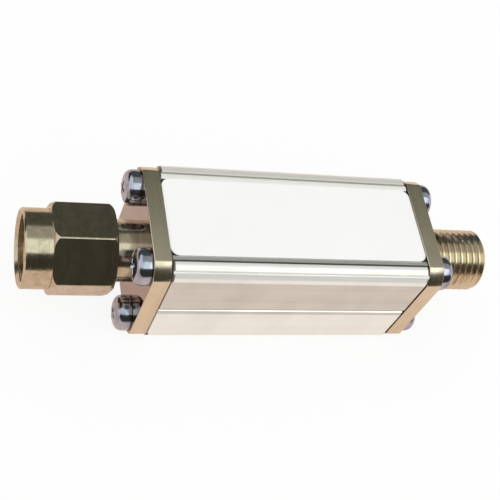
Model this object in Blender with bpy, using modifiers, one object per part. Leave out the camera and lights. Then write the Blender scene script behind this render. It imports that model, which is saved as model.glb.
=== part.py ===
"""In-line coaxial bandpass filter: an extruded box between a plug and a jack, each on a square flange.

The connectors' common axis runs along X, with the plug at -X and the jack at +X. The label faces +Z, and
the flanges stand on Z = 0. Everything is in metres.
"""

import math

import bmesh
import bpy
from mathutils import Matrix

# Square flanges, the same on both connectors
FLANGE_WIDTH = 0.0127
FLANGE_THICKNESS = 0.00165
FLANGE_CORNER_RADIUS = 0.00155
FLANGE_HOLE_DIAMETER = 0.0024
SCREW_EDGE_DISTANCE = 0.00203

# Extruded housing, in two halves that meet at the connectors' axis
HOUSING_LENGTH = 0.0258
HOUSING_END_GAP = 0.0001
HOUSING_INSET = 0.00005
HOUSING_CORNER_RADIUS = 0.00135
HOUSING_WALL = 0.00125
HOUSING_ROOF = 0.0011
SCREW_PORT_RADIUS = 0.00175
CORNER_FLUTES = 3
FLUTE_WIDTH = 0.00016
FLUTE_DEPTH = 0.00004
SEAM_GAP = 0.0001
UPPER_SEAM_CHAMFER = 0.00012
LOWER_SEAM_HEIGHT = 0.0006
LOWER_SEAM_DEPTH = 0.00012
LIP_THICKNESS = 0.00045
LIP_CLEARANCE = 0.00008

# Label in its shallow recess
RECESS_DEPTH = 0.0002
RECESS_LAND = 0.00005
RECESS_SLOPE = 0.00055
LABEL_SIDE_GAP = 0.00005
LABEL_END_MARGIN = 0.00012
LABEL_THICKNESS = 0.00012
LABEL_SEAT_GAP = 0.00002
LABEL_CORNER_RADIUS = 0.00065

# Coaxial line that runs through both connectors: the plug's pin, the jack's socket and their insulators
PIN_DIAMETER = 0.00092
PIN_LENGTH = 0.0019
PIN_POINT = 0.0003
CONTACT_FIT = 0.00002
CONTACT_WALL = 0.000165
CONTACT_RECESS = 0.00005
CONTACT_BORE_DEPTH = 0.003
CONTACT_SLOT_WIDTH = 0.00018
CONTACT_SLOT_LENGTH = 0.0023
INSULATOR_CLEARANCE = 0.00002
TAIL_LENGTH = 0.003
TAIL_CHAMFER = 0.0001

# Jack: threaded barrel, its relief groove and its mouth
THREAD_DIAMETER = 0.00635
THREAD_PITCH = 0.0254 / 36
THREAD_DEPTH = 0.00043
THREAD_CREST = 0.00009
THREAD_CLEARANCE = 0.00003
BARREL_LENGTH = 0.0079
BARREL_WALL = 0.00088
BARREL_CHAMFER = 0.00035
RELIEF_LENGTH = 0.0009
RELIEF_DEPTH = 0.0004
MOUTH_DEPTH = 0.00195
EDGE_BREAK = 0.0001

# Plug: sleeve that enters a jack's mouth, and shank with the ring's groove
SLEEVE_WALL = 0.000225
SLEEVE_LENGTH = 0.0022
SHANK_WALL = 0.00093
SHANK_EXPOSED = 0.0023
SHANK_LENGTH = 0.00555
RING_GROOVE_START = 0.0037
RING_GROOVE_DEPTH = 0.00045

# Retaining ring and gasket of the coupling nut
RING_THICKNESS = 0.0005
RING_WIDTH = 0.0008
RING_OPENING = 0.0009
RING_CLEARANCE = 0.00005
GASKET_THICKNESS = 0.0004
GASKET_CLEARANCE = 0.00005

# Coupling nut: hexagon and collar round the thread's bore
NUT_WALL = 0.000795
NUT_HEX_LENGTH = 0.0059
NUT_COLLAR_LENGTH = 0.00255
NUT_COLLAR_STEP = 0.00019
NUT_COLLAR_CHAMFER = 0.00015
NUT_EDGE_RADIUS = 0.00022
NUT_CHAMFER_DROP = 0.00056
NUT_CHAMFER_INSET = 0.00005
NUT_RUNNING_CLEARANCE = 0.00005
NUT_LIP_END = 0.0028
NUT_MOUTH_CHAMFER = 0.00022
NUT_REST_TURN = math.radians(41.3)

# Flange screws, pan head with a cross recess
SCREW_DIAMETER = 0.002
SCREW_LENGTH = 0.006
SCREW_CLEARANCE = 0.00004
SCREW_TIP_CHAMFER = 0.00025
HEAD_DIAMETER = 0.0034
HEAD_HEIGHT = 0.0014
HEAD_RIM = 0.00035
HEAD_SEAT_GAP = 0.00003
CROSS_SPAN = 0.0017
CROSS_WING = 0.00034
CROSS_DEPTH = 0.0007
CROSS_TAPER = 0.45
BAR_TAPER = 0.96
MALE_CROSS_TURNS = (20, 65, 10, 40)
FEMALE_CROSS_TURNS = (35, 5, 70, 50)

# Circuit board between the halves, with the filter and its matching parts
BOARD_THICKNESS = 0.0008
BOARD_CLEARANCE = 0.00005
BOARD_END_MARGIN = 0.00025
SEAT_GAP = 0.00004
PACKAGE_LENGTH = 0.0045
PACKAGE_WIDTH = 0.0032
PACKAGE_HEIGHT = 0.0013
CHIP_LENGTH = 0.0016
CHIP_WIDTH = 0.0008
CHIP_HEIGHT = 0.0006
CHIP_SPACING = 0.0019
PART_BEVEL = 0.00008

# Facets
ROUND_STEPS = 48
PIN_STEPS = 24
SCREW_STEPS = 20
HOLE_STEPS = 20
CORNER_STEPS = 5
PORT_STEPS = 8
DOME_STEPS = 4
CHAMFER_STEPS = 3
EDGE_ANGLE = math.radians(40)
FLUTE_EDGE_ANGLE = math.radians(20)

# Sizes that follow from the sizes above
CONTACT_BORE_DIAMETER = PIN_DIAMETER + CONTACT_FIT
LINE_DIAMETER = CONTACT_BORE_DIAMETER + 2 * CONTACT_WALL
SLEEVE_DIAMETER = THREAD_DIAMETER - 2 * BARREL_WALL
BORE_RADIUS = SLEEVE_DIAMETER / 2 - SLEEVE_WALL
SHANK_DIAMETER = 2 * (BORE_RADIUS + SHANK_WALL)
NUT_ACROSS_FLATS = THREAD_DIAMETER + 2 * NUT_WALL
NUT_COLLAR_DIAMETER = NUT_ACROSS_FLATS - 2 * NUT_COLLAR_STEP

# Places that follow from the sizes above
SCREW_OFFSET = FLANGE_WIDTH / 2 - SCREW_EDGE_DISTANCE
HOUSING_HALF_WIDTH = FLANGE_WIDTH / 2 - HOUSING_INSET
CAVITY_HALF_WIDTH = HOUSING_HALF_WIDTH - HOUSING_WALL
CAVITY_TOP = HOUSING_HALF_WIDTH - RECESS_DEPTH - HOUSING_ROOF
RECESS_TOP_HALF = HOUSING_HALF_WIDTH - HOUSING_CORNER_RADIUS - RECESS_LAND
RECESS_FLOOR_HALF = RECESS_TOP_HALF - RECESS_SLOPE
RECESS_FLOOR = HOUSING_HALF_WIDTH - RECESS_DEPTH
FLANGE_FACE = HOUSING_LENGTH / 2 + HOUSING_END_GAP + FLANGE_THICKNESS
REFERENCE_PLANE = SHANK_LENGTH + SLEEVE_LENGTH
LINE_RADIUS = LINE_DIAMETER / 2
NUT_LENGTH = NUT_HEX_LENGTH + NUT_COLLAR_LENGTH
NUT_BORE_RADIUS = THREAD_DIAMETER / 2 + THREAD_CLEARANCE
RING_GROOVE_RADIUS = SHANK_DIAMETER / 2 - RING_GROOVE_DEPTH
RING_INNER_RADIUS = RING_GROOVE_RADIUS + RING_CLEARANCE
RING_OUTER_RADIUS = RING_INNER_RADIUS + RING_WIDTH
RING_GROOVE_WIDTH = RING_THICKNESS + 2 * RING_CLEARANCE
BOARD_TOP = -(LINE_RADIUS + SEAT_GAP)
BOARD_BOTTOM = BOARD_TOP - BOARD_THICKNESS
REBATE_HALF_WIDTH = CAVITY_HALF_WIDTH + LIP_THICKNESS + LIP_CLEARANCE
PLUG_END = FLANGE_FACE + SHANK_EXPOSED + NUT_LENGTH
JACK_END = FLANGE_FACE + BARREL_LENGTH
CENTRE_SHIFT = (PLUG_END - JACK_END) / 2

PARTS = "coaxial_bandpass_filter"
CUTTERS = "cutters"
CUTTER_OVERRUN = 0.002
DRAWING_SCALE = 1000.0
WELD = 1e-6
HEX_SIDES = 6
HALF_SIDE_ANGLE = math.pi / HEX_SIDES


def collection(name):
    """A new collection linked to the scene."""
    made = bpy.data.collections.new(name)
    bpy.context.scene.collection.children.link(made)
    return made


def clear_scene():
    """Remove every object that the scene starts with."""
    for obj in list(bpy.data.objects):
        bpy.data.objects.remove(obj, do_unlink=True)


def material(name, color, roughness, metallic=0.0):
    """A plain Principled material in one of the part's finishes."""
    made = bpy.data.materials.new(name)
    made.use_nodes = True
    shader = made.node_tree.nodes["Principled BSDF"]
    shader.inputs["Base Color"].default_value = (*color, 1.0)
    shader.inputs["Roughness"].default_value = roughness
    shader.inputs["Metallic"].default_value = metallic
    made.diffuse_color = (*color, 1.0)
    return made


def empty(name, parent=None, location=(0, 0, 0), rotation=(0, 0, 0)):
    """An empty that carries pieces, such as one end of the connectors' axis."""
    made = bpy.data.objects.new(name, None)
    bpy.data.collections[PARTS].objects.link(made)
    place(made, parent, location, rotation)
    return made


def place(obj, parent, location=(0, 0, 0), rotation=(0, 0, 0)):
    """Put an object under its parent."""
    obj.parent = parent
    obj.location = location
    obj.rotation_euler = rotation
    return obj


def mesh_object(name, mesh, finish=None):
    """An object with this mesh: a part if it has a finish, and otherwise a cutter."""
    obj = bpy.data.objects.new(name, mesh)
    if finish is None:
        bpy.data.collections[CUTTERS].objects.link(obj)
        obj.hide_render = True
        obj.display_type = "WIRE"
    else:
        bpy.data.collections[PARTS].objects.link(obj)
        mesh.materials.append(finish)
    return obj


def on_arc(centre, radius, degrees):
    """The point of a circle at this angle."""
    angle = math.radians(degrees)
    return (centre[0] + radius * math.cos(angle), centre[1] + radius * math.sin(angle))


def arc(centre, radius, start, stop, steps):
    """Points along an arc, angles in degrees."""
    return [on_arc(centre, radius, start + (stop - start) * step / steps) for step in range(steps + 1)]


def circle(centre, radius, steps):
    """Points round a whole circle."""
    return arc(centre, radius, 0, 360, steps)[:-1]


def rounded_rectangle(half_x, half_y, radius, steps):
    """A rectangle's outline with round corners."""
    points = []
    for quarter, (side_x, side_y) in enumerate(((1, 1), (-1, 1), (-1, -1), (1, -1))):
        centre = (side_x * (half_x - radius), side_y * (half_y - radius))
        points += arc(centre, radius, 90 * quarter, 90 * (quarter + 1), steps)
    return points


def flat_outline(name, loops, thickness, finish=None):
    """A plate with these outlines, the first one outside and the others holes, centred on its thickness.

    The outline is drawn a thousand times larger, because filling a curve merges points under 0.03 mm apart.
    """
    curve = bpy.data.curves.new(name, "CURVE")
    curve.dimensions = "2D"
    curve.fill_mode = "BOTH"
    curve.extrude = DRAWING_SCALE * thickness / 2
    for loop in loops:
        spline = curve.splines.new("POLY")
        spline.points.add(len(loop) - 1)
        for point, (x, y) in zip(spline.points, loop):
            point.co = (DRAWING_SCALE * x, DRAWING_SCALE * y, 0, 1)
        spline.use_cyclic_u = True
    drawn = bpy.data.objects.new(name, curve)
    bpy.context.scene.collection.objects.link(drawn)
    graph = bpy.context.evaluated_depsgraph_get()
    mesh = bpy.data.meshes.new_from_object(drawn.evaluated_get(graph))
    bpy.data.objects.remove(drawn, do_unlink=True)
    bpy.data.curves.remove(curve)
    mesh.name = name
    mesh.materials.clear()
    mesh.transform(Matrix.Scale(1 / DRAWING_SCALE, 4))
    shape = bmesh.new()
    shape.from_mesh(mesh)
    bmesh.ops.remove_doubles(shape, verts=shape.verts, dist=WELD)
    bmesh.ops.recalc_face_normals(shape, faces=shape.faces)
    shape.to_mesh(mesh)
    shape.free()
    return mesh_object(name, mesh, finish)


def turned(name, profile, steps, finish=None, closed=False):
    """A turned piece about its own Z, from a profile of (radius, height) that runs down its outer side."""
    mesh = bpy.data.meshes.new(name)
    edges = [(i, i + 1) for i in range(len(profile) - 1)]
    if closed:
        edges.append((len(profile) - 1, 0))
    mesh.from_pydata([(radius, 0, height) for radius, height in profile], edges, [])
    obj = mesh_object(name, mesh, finish)
    lathe = obj.modifiers.new("turn", "SCREW")
    lathe.axis = "Z"
    lathe.steps = steps
    lathe.render_steps = steps
    lathe.use_merge_vertices = True
    lathe.merge_threshold = WELD
    lathe.use_smooth_shade = True
    return obj


def block(name, size, finish, bevel=0.0):
    """A rectangular piece, centred on its own origin, with its edges broken by the bevel."""
    mesh = bpy.data.meshes.new(name)
    shape = bmesh.new()
    bmesh.ops.create_cube(shape, size=1.0, matrix=Matrix.Diagonal((*size, 1.0)))
    shape.to_mesh(mesh)
    shape.free()
    obj = mesh_object(name, mesh, finish)
    if bevel:
        edge = obj.modifiers.new("broken edges", "BEVEL")
        edge.width = bevel
        edge.segments = 1
    return obj


def combine(obj, other, operation):
    """Add a Boolean modifier: DIFFERENCE, UNION or INTERSECT."""
    step = obj.modifiers.new(other.name, "BOOLEAN")
    step.operation = operation
    step.solver = "EXACT"
    step.object = other


def smooth(obj, angle=EDGE_ANGLE):
    """Shade a piece smooth, with its real edges kept sharp."""
    obj.data.shade_smooth()
    obj.data.set_sharp_from_angle(angle=angle)


def fluted_corner(centre, radius):
    """A quarter arc from +X round to +Y, with shallow flutes along it."""
    pitch = 90.0 / (CORNER_FLUTES + 1)
    half = math.degrees(FLUTE_WIDTH / 2 / radius)
    stops = [(0, radius)]
    for flute in range(1, CORNER_FLUTES + 1):
        middle = pitch * flute
        stops.append((middle - pitch / 2, radius))
        stops.append((middle - half, radius))
        stops.append((middle, radius - FLUTE_DEPTH))
        stops.append((middle + half, radius))
    stops += [(90 - pitch / 2, radius), (90, radius)]
    return [on_arc(centre, distance, angle) for angle, distance in stops]


def half_shell_outline(seam_outside, seam_inside):
    """Half of the housing's section in Y and Z, from the seam up, with the label's recess on top.

    The two arguments are the points of the seam's right edge, outside going up and inside going down.
    """
    half = HOUSING_HALF_WIDTH
    corner = half - HOUSING_CORNER_RADIUS
    right = list(seam_outside)
    right += fluted_corner((corner, corner), HOUSING_CORNER_RADIUS)
    right += [(RECESS_TOP_HALF, half), (RECESS_FLOOR_HALF, RECESS_FLOOR)]
    rise = math.acos((CAVITY_HALF_WIDTH - SCREW_OFFSET) / SCREW_PORT_RADIUS)
    reach = math.asin((CAVITY_TOP - SCREW_OFFSET) / SCREW_PORT_RADIUS)
    port = arc(
        (SCREW_OFFSET, SCREW_OFFSET),
        SCREW_PORT_RADIUS,
        -180 - math.degrees(reach),
        -math.degrees(rise),
        PORT_STEPS,
    )
    right_inside = port + list(seam_inside)
    left = [(-y, z) for y, z in reversed(right)]
    left_inside = [(-y, z) for y, z in reversed(right_inside)]
    return right + left + left_inside + right_inside


def housing_half(name, outline, flip, finish, axis):
    """One extruded half of the housing, the lower one turned over."""
    ports = [
        circle((side * SCREW_OFFSET, SCREW_OFFSET), SCREW_DIAMETER / 2 + SCREW_CLEARANCE, HOLE_STEPS)
        for side in (-1, 1)
    ]
    half = flat_outline(name, [outline, *ports], HOUSING_LENGTH, finish)
    half.data.transform(Matrix.Rotation(math.radians(90), 4, "Z") @ Matrix.Rotation(math.radians(90), 4, "X"))
    smooth(half, FLUTE_EDGE_ANGLE)
    return place(half, axis, rotation=(math.pi if flip else 0, 0, 0))


def housing_upper(finish, axis):
    """The label's half: its locating lip reaches down inside the other half and holds the board."""
    seam = SEAM_GAP / 2
    lip_outside = CAVITY_HALF_WIDTH + LIP_THICKNESS
    lip_bottom = BOARD_TOP + BOARD_CLEARANCE
    outside = [
        (lip_outside, seam),
        (HOUSING_HALF_WIDTH - UPPER_SEAM_CHAMFER, seam),
        (HOUSING_HALF_WIDTH, seam + UPPER_SEAM_CHAMFER),
    ]
    inside = [(CAVITY_HALF_WIDTH, lip_bottom), (lip_outside, lip_bottom)]
    return housing_half("housing_upper", half_shell_outline(outside, inside), False, finish, axis)


def housing_lower(finish, axis):
    """The other half, drawn upside down: its rebate takes the lip, and its ledge carries the board."""
    seam = SEAM_GAP / 2
    ledge = -BOARD_BOTTOM + BOARD_CLEARANCE
    outside = [
        (HOUSING_HALF_WIDTH - LOWER_SEAM_DEPTH, seam),
        (HOUSING_HALF_WIDTH, seam + LOWER_SEAM_HEIGHT),
    ]
    inside = [(CAVITY_HALF_WIDTH, ledge), (REBATE_HALF_WIDTH, ledge), (REBATE_HALF_WIDTH, seam)]
    return housing_half("housing_lower", half_shell_outline(outside, inside), True, finish, axis)


def label(finish, axis):
    """The bare label, lying in the recess from end to end."""
    outline = rounded_rectangle(
        HOUSING_LENGTH / 2 - LABEL_END_MARGIN,
        RECESS_FLOOR_HALF - LABEL_SIDE_GAP,
        LABEL_CORNER_RADIUS,
        CORNER_STEPS,
    )
    sheet = flat_outline("label", [outline], LABEL_THICKNESS, finish)
    return place(sheet, axis, (0, 0, RECESS_FLOOR + LABEL_SEAT_GAP + LABEL_THICKNESS / 2))


def flange(name, finish, connector):
    """A square flange with its four screw holes, behind the connector's face."""
    half = FLANGE_WIDTH / 2
    holes = [
        circle((side_x * SCREW_OFFSET, side_y * SCREW_OFFSET), FLANGE_HOLE_DIAMETER / 2, HOLE_STEPS)
        for side_x in (-1, 1)
        for side_y in (-1, 1)
    ]
    outline = rounded_rectangle(half, half, FLANGE_CORNER_RADIUS, CORNER_STEPS)
    plate = flat_outline(name, [outline, *holes], FLANGE_THICKNESS, finish)
    smooth(plate)
    return place(plate, connector, (0, 0, -FLANGE_THICKNESS / 2))


def plug_body(finish, plug):
    """Flange, shank with the ring's groove, and the thin sleeve that enters the mating jack."""
    shank = SHANK_DIAMETER / 2
    sleeve = SLEEVE_DIAMETER / 2
    groove_end = RING_GROOVE_START + RING_GROOVE_WIDTH
    body = flange("male_connector_body", finish, plug)
    boss = turned(
        "plug_boss",
        [
            (0, REFERENCE_PLANE),
            (sleeve - EDGE_BREAK, REFERENCE_PLANE),
            (sleeve, REFERENCE_PLANE - EDGE_BREAK),
            (sleeve, SHANK_LENGTH),
            (shank - EDGE_BREAK, SHANK_LENGTH),
            (shank, SHANK_LENGTH - EDGE_BREAK),
            (shank, groove_end),
            (RING_GROOVE_RADIUS, groove_end),
            (RING_GROOVE_RADIUS, RING_GROOVE_START),
            (shank, RING_GROOVE_START),
            (shank, -FLANGE_THICKNESS / 2),
            (0, -FLANGE_THICKNESS / 2),
        ],
        ROUND_STEPS,
    )
    place(boss, plug)
    bore = turned(
        "plug_bore",
        [
            (0, REFERENCE_PLANE + CUTTER_OVERRUN),
            (BORE_RADIUS, REFERENCE_PLANE + CUTTER_OVERRUN),
            (BORE_RADIUS, -FLANGE_THICKNESS - CUTTER_OVERRUN),
            (0, -FLANGE_THICKNESS - CUTTER_OVERRUN),
        ],
        ROUND_STEPS,
    )
    place(bore, plug)
    combine(body, boss, "UNION")
    combine(body, bore, "DIFFERENCE")
    return body


def insulator(name, front, finish, connector):
    """The plastic tube that holds the line in the middle of a connector, flush with the flange inside."""
    outside = BORE_RADIUS - INSULATOR_CLEARANCE
    inside = LINE_RADIUS + INSULATOR_CLEARANCE
    tube = turned(
        name,
        [
            (outside, front),
            (outside, -FLANGE_THICKNESS),
            (inside, -FLANGE_THICKNESS),
            (inside, front),
        ],
        PIN_STEPS,
        finish,
        closed=True,
    )
    return place(tube, connector)


def tail_profile():
    """The line's end over the board, behind the flange."""
    end = -FLANGE_THICKNESS - TAIL_LENGTH
    return [(LINE_RADIUS, end + TAIL_CHAMFER), (LINE_RADIUS - TAIL_CHAMFER, end), (0, end)]


def plug_pin(finish, plug):
    """The plug's pin, with its step at the reference plane and its pointed end."""
    pin = PIN_DIAMETER / 2
    tip = REFERENCE_PLANE + PIN_LENGTH
    profile = [
        (0, tip),
        (pin / 2, tip),
        (pin, tip - PIN_POINT),
        (pin, REFERENCE_PLANE - CONTACT_RECESS),
        (LINE_RADIUS, REFERENCE_PLANE - CONTACT_RECESS),
        *tail_profile(),
    ]
    return place(turned("male_pin", profile, PIN_STEPS, finish), plug)


def retaining_ring(finish, plug):
    """The open ring that keeps the nut on the shank, with its opening at the top."""
    half_opening = math.degrees(RING_OPENING / 2 / RING_INNER_RADIUS)
    outer = arc((0, 0), RING_OUTER_RADIUS, half_opening, 360 - half_opening, ROUND_STEPS)
    inner = arc((0, 0), RING_INNER_RADIUS, 360 - half_opening, half_opening, ROUND_STEPS)
    ring = flat_outline("retaining_ring", [outer + inner], RING_THICKNESS, finish)
    smooth(ring)
    return place(ring, plug, (0, 0, RING_GROOVE_START + RING_GROOVE_WIDTH / 2))


def gasket(finish, plug):
    """The flat seal round the sleeve, against the shank's end."""
    low = SHANK_LENGTH + GASKET_CLEARANCE
    high = low + GASKET_THICKNESS
    inside = SLEEVE_DIAMETER / 2 + GASKET_CLEARANCE
    outside = NUT_BORE_RADIUS - 2 * GASKET_CLEARANCE
    seal = turned(
        "gasket",
        [
            (outside - EDGE_BREAK, high),
            (outside, high - EDGE_BREAK),
            (outside, low + EDGE_BREAK),
            (outside - EDGE_BREAK, low),
            (inside, low),
            (inside, high),
        ],
        ROUND_STEPS,
        finish,
        closed=True,
    )
    return place(seal, plug)


def hexagon_chamfer(corner):
    """The hexagon's crowned chamfer, from the flats to the corners, as (radius, distance from its end)."""
    start = NUT_ACROSS_FLATS / 2 - NUT_CHAMFER_INSET
    shares = [step / CHAMFER_STEPS for step in range(CHAMFER_STEPS + 1)]
    return [(start + (corner - start) * share, NUT_CHAMFER_DROP * share**2) for share in shares]


def coupling_nut(finish, plug):
    """The captive nut: a turned form cut by a hexagon, bored for the thread, the shank and the ring."""
    collar = NUT_COLLAR_DIAMETER / 2
    corner = NUT_ACROSS_FLATS / 2 / math.cos(HALF_SIDE_ANGLE)
    chamfer = hexagon_chamfer(corner)
    nut = turned(
        "coupling_nut",
        [
            (0, NUT_LENGTH),
            (collar - NUT_COLLAR_CHAMFER, NUT_LENGTH),
            (collar, NUT_LENGTH - NUT_COLLAR_CHAMFER),
            (collar, NUT_HEX_LENGTH),
            *[(radius, NUT_HEX_LENGTH - distance) for radius, distance in chamfer],
            *reversed(chamfer),
            (0, 0),
        ],
        ROUND_STEPS,
        finish,
    )
    place(nut, plug, (0, 0, SHANK_EXPOSED), (0, 0, NUT_REST_TURN))

    outline = circle((0, 0), corner, HEX_SIDES)
    hexagon = flat_outline("nut_hexagon", [outline], 2 * (NUT_LENGTH + CUTTER_OVERRUN))
    rounded = hexagon.modifiers.new("corner edges", "BEVEL")
    rounded.width = NUT_EDGE_RADIUS * math.tan(HALF_SIDE_ANGLE)
    rounded.segments = 2
    rounded.limit_method = "ANGLE"
    rounded.angle_limit = EDGE_ANGLE
    place(hexagon, plug, (0, 0, SHANK_EXPOSED), (0, 0, NUT_REST_TURN))

    lip_bore = SHANK_DIAMETER / 2 + NUT_RUNNING_CLEARANCE
    ring_bore = RING_OUTER_RADIUS + 2 * RING_CLEARANCE
    ring_low = RING_GROOVE_START - SHANK_EXPOSED - RING_CLEARANCE
    ring_high = ring_low + RING_GROOVE_WIDTH + 2 * RING_CLEARANCE
    mouth = NUT_BORE_RADIUS + NUT_MOUTH_CHAMFER
    bore = turned(
        "nut_bore",
        [
            (0, NUT_LENGTH + CUTTER_OVERRUN),
            (mouth, NUT_LENGTH + CUTTER_OVERRUN),
            (mouth, NUT_LENGTH),
            (NUT_BORE_RADIUS, NUT_LENGTH - NUT_MOUTH_CHAMFER),
            (NUT_BORE_RADIUS, NUT_LIP_END),
            (lip_bore, NUT_LIP_END),
            (lip_bore, ring_high),
            (ring_bore, ring_high),
            (ring_bore, ring_low),
            (lip_bore, ring_low),
            (lip_bore, -CUTTER_OVERRUN),
            (0, -CUTTER_OVERRUN),
        ],
        ROUND_STEPS,
    )
    place(bore, plug, (0, 0, SHANK_EXPOSED), (0, 0, NUT_REST_TURN))
    combine(nut, hexagon, "INTERSECT")
    combine(nut, bore, "DIFFERENCE")
    return nut


def thread_rings(radius, start, end):
    """The thread's section from its end down to its start, cut as sharp rings one pitch apart."""
    root = radius - THREAD_DEPTH
    half_width = (THREAD_PITCH - THREAD_CREST) / 2
    points = []
    for ring in range(int((end - start) / THREAD_PITCH)):
        middle = end - (ring + 0.5) * THREAD_PITCH
        points += [(radius, middle + half_width), (root, middle), (radius, middle - half_width)]
    return points


def jack_body(finish, jack):
    """Flange and barrel, with the relief groove at the flange and the mouth that takes a plug's sleeve."""
    barrel = THREAD_DIAMETER / 2
    relief = barrel - RELIEF_DEPTH
    body = flange("female_connector_body", finish, jack)
    boss = turned(
        "jack_boss",
        [
            (0, BARREL_LENGTH),
            (barrel - BARREL_CHAMFER, BARREL_LENGTH),
            (barrel, BARREL_LENGTH - BARREL_CHAMFER),
            *thread_rings(barrel, RELIEF_LENGTH, BARREL_LENGTH - BARREL_CHAMFER),
            (barrel, RELIEF_LENGTH),
            (relief, RELIEF_LENGTH - RELIEF_DEPTH),
            (relief, -FLANGE_THICKNESS / 2),
            (0, -FLANGE_THICKNESS / 2),
        ],
        ROUND_STEPS,
    )
    place(boss, jack)
    mouth = SLEEVE_DIAMETER / 2 + THREAD_CLEARANCE
    bore = turned(
        "jack_bore",
        [
            (0, BARREL_LENGTH + CUTTER_OVERRUN),
            (mouth + EDGE_BREAK, BARREL_LENGTH + CUTTER_OVERRUN),
            (mouth + EDGE_BREAK, BARREL_LENGTH),
            (mouth, BARREL_LENGTH - EDGE_BREAK),
            (mouth, BARREL_LENGTH - MOUTH_DEPTH),
            (BORE_RADIUS, BARREL_LENGTH - MOUTH_DEPTH),
            (BORE_RADIUS, -FLANGE_THICKNESS - CUTTER_OVERRUN),
            (0, -FLANGE_THICKNESS - CUTTER_OVERRUN),
        ],
        ROUND_STEPS,
    )
    place(bore, jack)
    combine(body, boss, "UNION")
    combine(body, bore, "DIFFERENCE")
    return body


def plus_outline(span, wing):
    """A cross of two equal bars, a little narrower at their ends."""
    far, near = span / 2, wing / 2
    quarter = [(far, near * BAR_TAPER), (near, near), (near * BAR_TAPER, far)]
    points = []
    for _ in range(4):
        points += quarter
        quarter = [(-y, x) for x, y in quarter]
    return points


def jack_contact(finish, jack):
    """The jack's socket: bored for a plug's pin, and slit crosswise so that its four fingers spring."""
    top = BARREL_LENGTH - MOUTH_DEPTH - CONTACT_RECESS
    bore = CONTACT_BORE_DIAMETER / 2
    profile = [
        (0, top - CONTACT_BORE_DEPTH),
        (bore, top - CONTACT_BORE_DEPTH),
        (bore, top - TAIL_CHAMFER),
        (bore + TAIL_CHAMFER / 2, top),
        (LINE_RADIUS, top),
        *tail_profile(),
    ]
    contact = place(turned("female_contact", profile, PIN_STEPS, finish), jack)
    outline = plus_outline(2 * LINE_DIAMETER, CONTACT_SLOT_WIDTH)
    slots = flat_outline("contact_slots", [outline], 2 * CONTACT_SLOT_LENGTH)
    place(slots, jack, (0, 0, top))
    combine(contact, slots, "DIFFERENCE")
    return contact


def cross_cutter():
    """The tapered cross that cuts a screw's recess, with its top above the head."""
    outline = plus_outline(CROSS_SPAN, CROSS_WING)
    cutter = flat_outline("cross_cutter", [outline], 2 * CROSS_DEPTH)
    for vertex in cutter.data.vertices:
        if vertex.co.z < 0:
            vertex.co.x *= CROSS_TAPER
            vertex.co.y *= CROSS_TAPER
    return cutter


def flange_screw_profile():
    """A pan-head screw from the top of its dome to its tip, with its seat at height 0."""
    head = HEAD_DIAMETER / 2
    thread = SCREW_DIAMETER / 2
    dome_rise = HEAD_HEIGHT - HEAD_RIM
    profile = []
    for step in range(DOME_STEPS + 1):
        angle = math.radians(90 * step / DOME_STEPS)
        profile.append((head * math.sin(angle), HEAD_RIM + dome_rise * math.cos(angle)))
    return profile + [
        (head, 0),
        (thread, 0),
        (thread, -SCREW_LENGTH + SCREW_TIP_CHAMFER),
        (thread - SCREW_TIP_CHAMFER, -SCREW_LENGTH),
        (0, -SCREW_LENGTH),
    ]


def flange_screws(prefix, turns, finish, connector):
    """The four screws of one flange, each with its cross left at its own angle."""
    corners = ((1, 1), (1, -1), (-1, -1), (-1, 1))
    for number, ((side_x, side_y), turn) in enumerate(zip(corners, turns), start=1):
        where = (side_x * SCREW_OFFSET, side_y * SCREW_OFFSET, HEAD_SEAT_GAP)
        rotation = (0, 0, math.radians(turn))
        screw = turned(f"{prefix}_screw_{number}", flange_screw_profile(), SCREW_STEPS, finish)
        place(screw, connector, where, rotation)
        cutter = place(cross_cutter(), connector, (*where[:2], where[2] + HEAD_HEIGHT), rotation)
        combine(screw, cutter, "DIFFERENCE")


def circuit_board(finish, axis):
    """The board that lies on the lower half's ledges, under the lines' tails."""
    size = (
        HOUSING_LENGTH - 2 * BOARD_END_MARGIN,
        2 * (REBATE_HALF_WIDTH - BOARD_CLEARANCE),
        BOARD_THICKNESS,
    )
    return place(block("circuit_board", size, finish), axis, (0, 0, BOARD_TOP - BOARD_THICKNESS / 2))


def board_parts(package_finish, chip_finish, coil_finish, axis):
    """The filter element in the middle, and its matching parts towards both connectors."""
    package_size = (PACKAGE_LENGTH, PACKAGE_WIDTH, PACKAGE_HEIGHT)
    capacitor_size = (CHIP_LENGTH, CHIP_WIDTH, CHIP_HEIGHT)
    inductor_size = (CHIP_WIDTH, CHIP_LENGTH, CHIP_HEIGHT)
    package = block("filter_package", package_size, package_finish, PART_BEVEL)
    place(package, axis, (0, 0, BOARD_TOP + SEAT_GAP + PACKAGE_HEIGHT / 2))
    tail_end = FLANGE_FACE - FLANGE_THICKNESS - TAIL_LENGTH
    middle = (tail_end + PACKAGE_LENGTH / 2) / 2
    height = BOARD_TOP + SEAT_GAP + CHIP_HEIGHT / 2
    for prefix, side in (("input", -1), ("output", 1)):
        capacitor = block(f"{prefix}_capacitor", capacitor_size, chip_finish, PART_BEVEL)
        place(capacitor, axis, (side * middle, 0, height))
        inductor = block(f"{prefix}_inductor", inductor_size, coil_finish, PART_BEVEL)
        place(inductor, axis, (side * middle, CHIP_SPACING, height))


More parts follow.
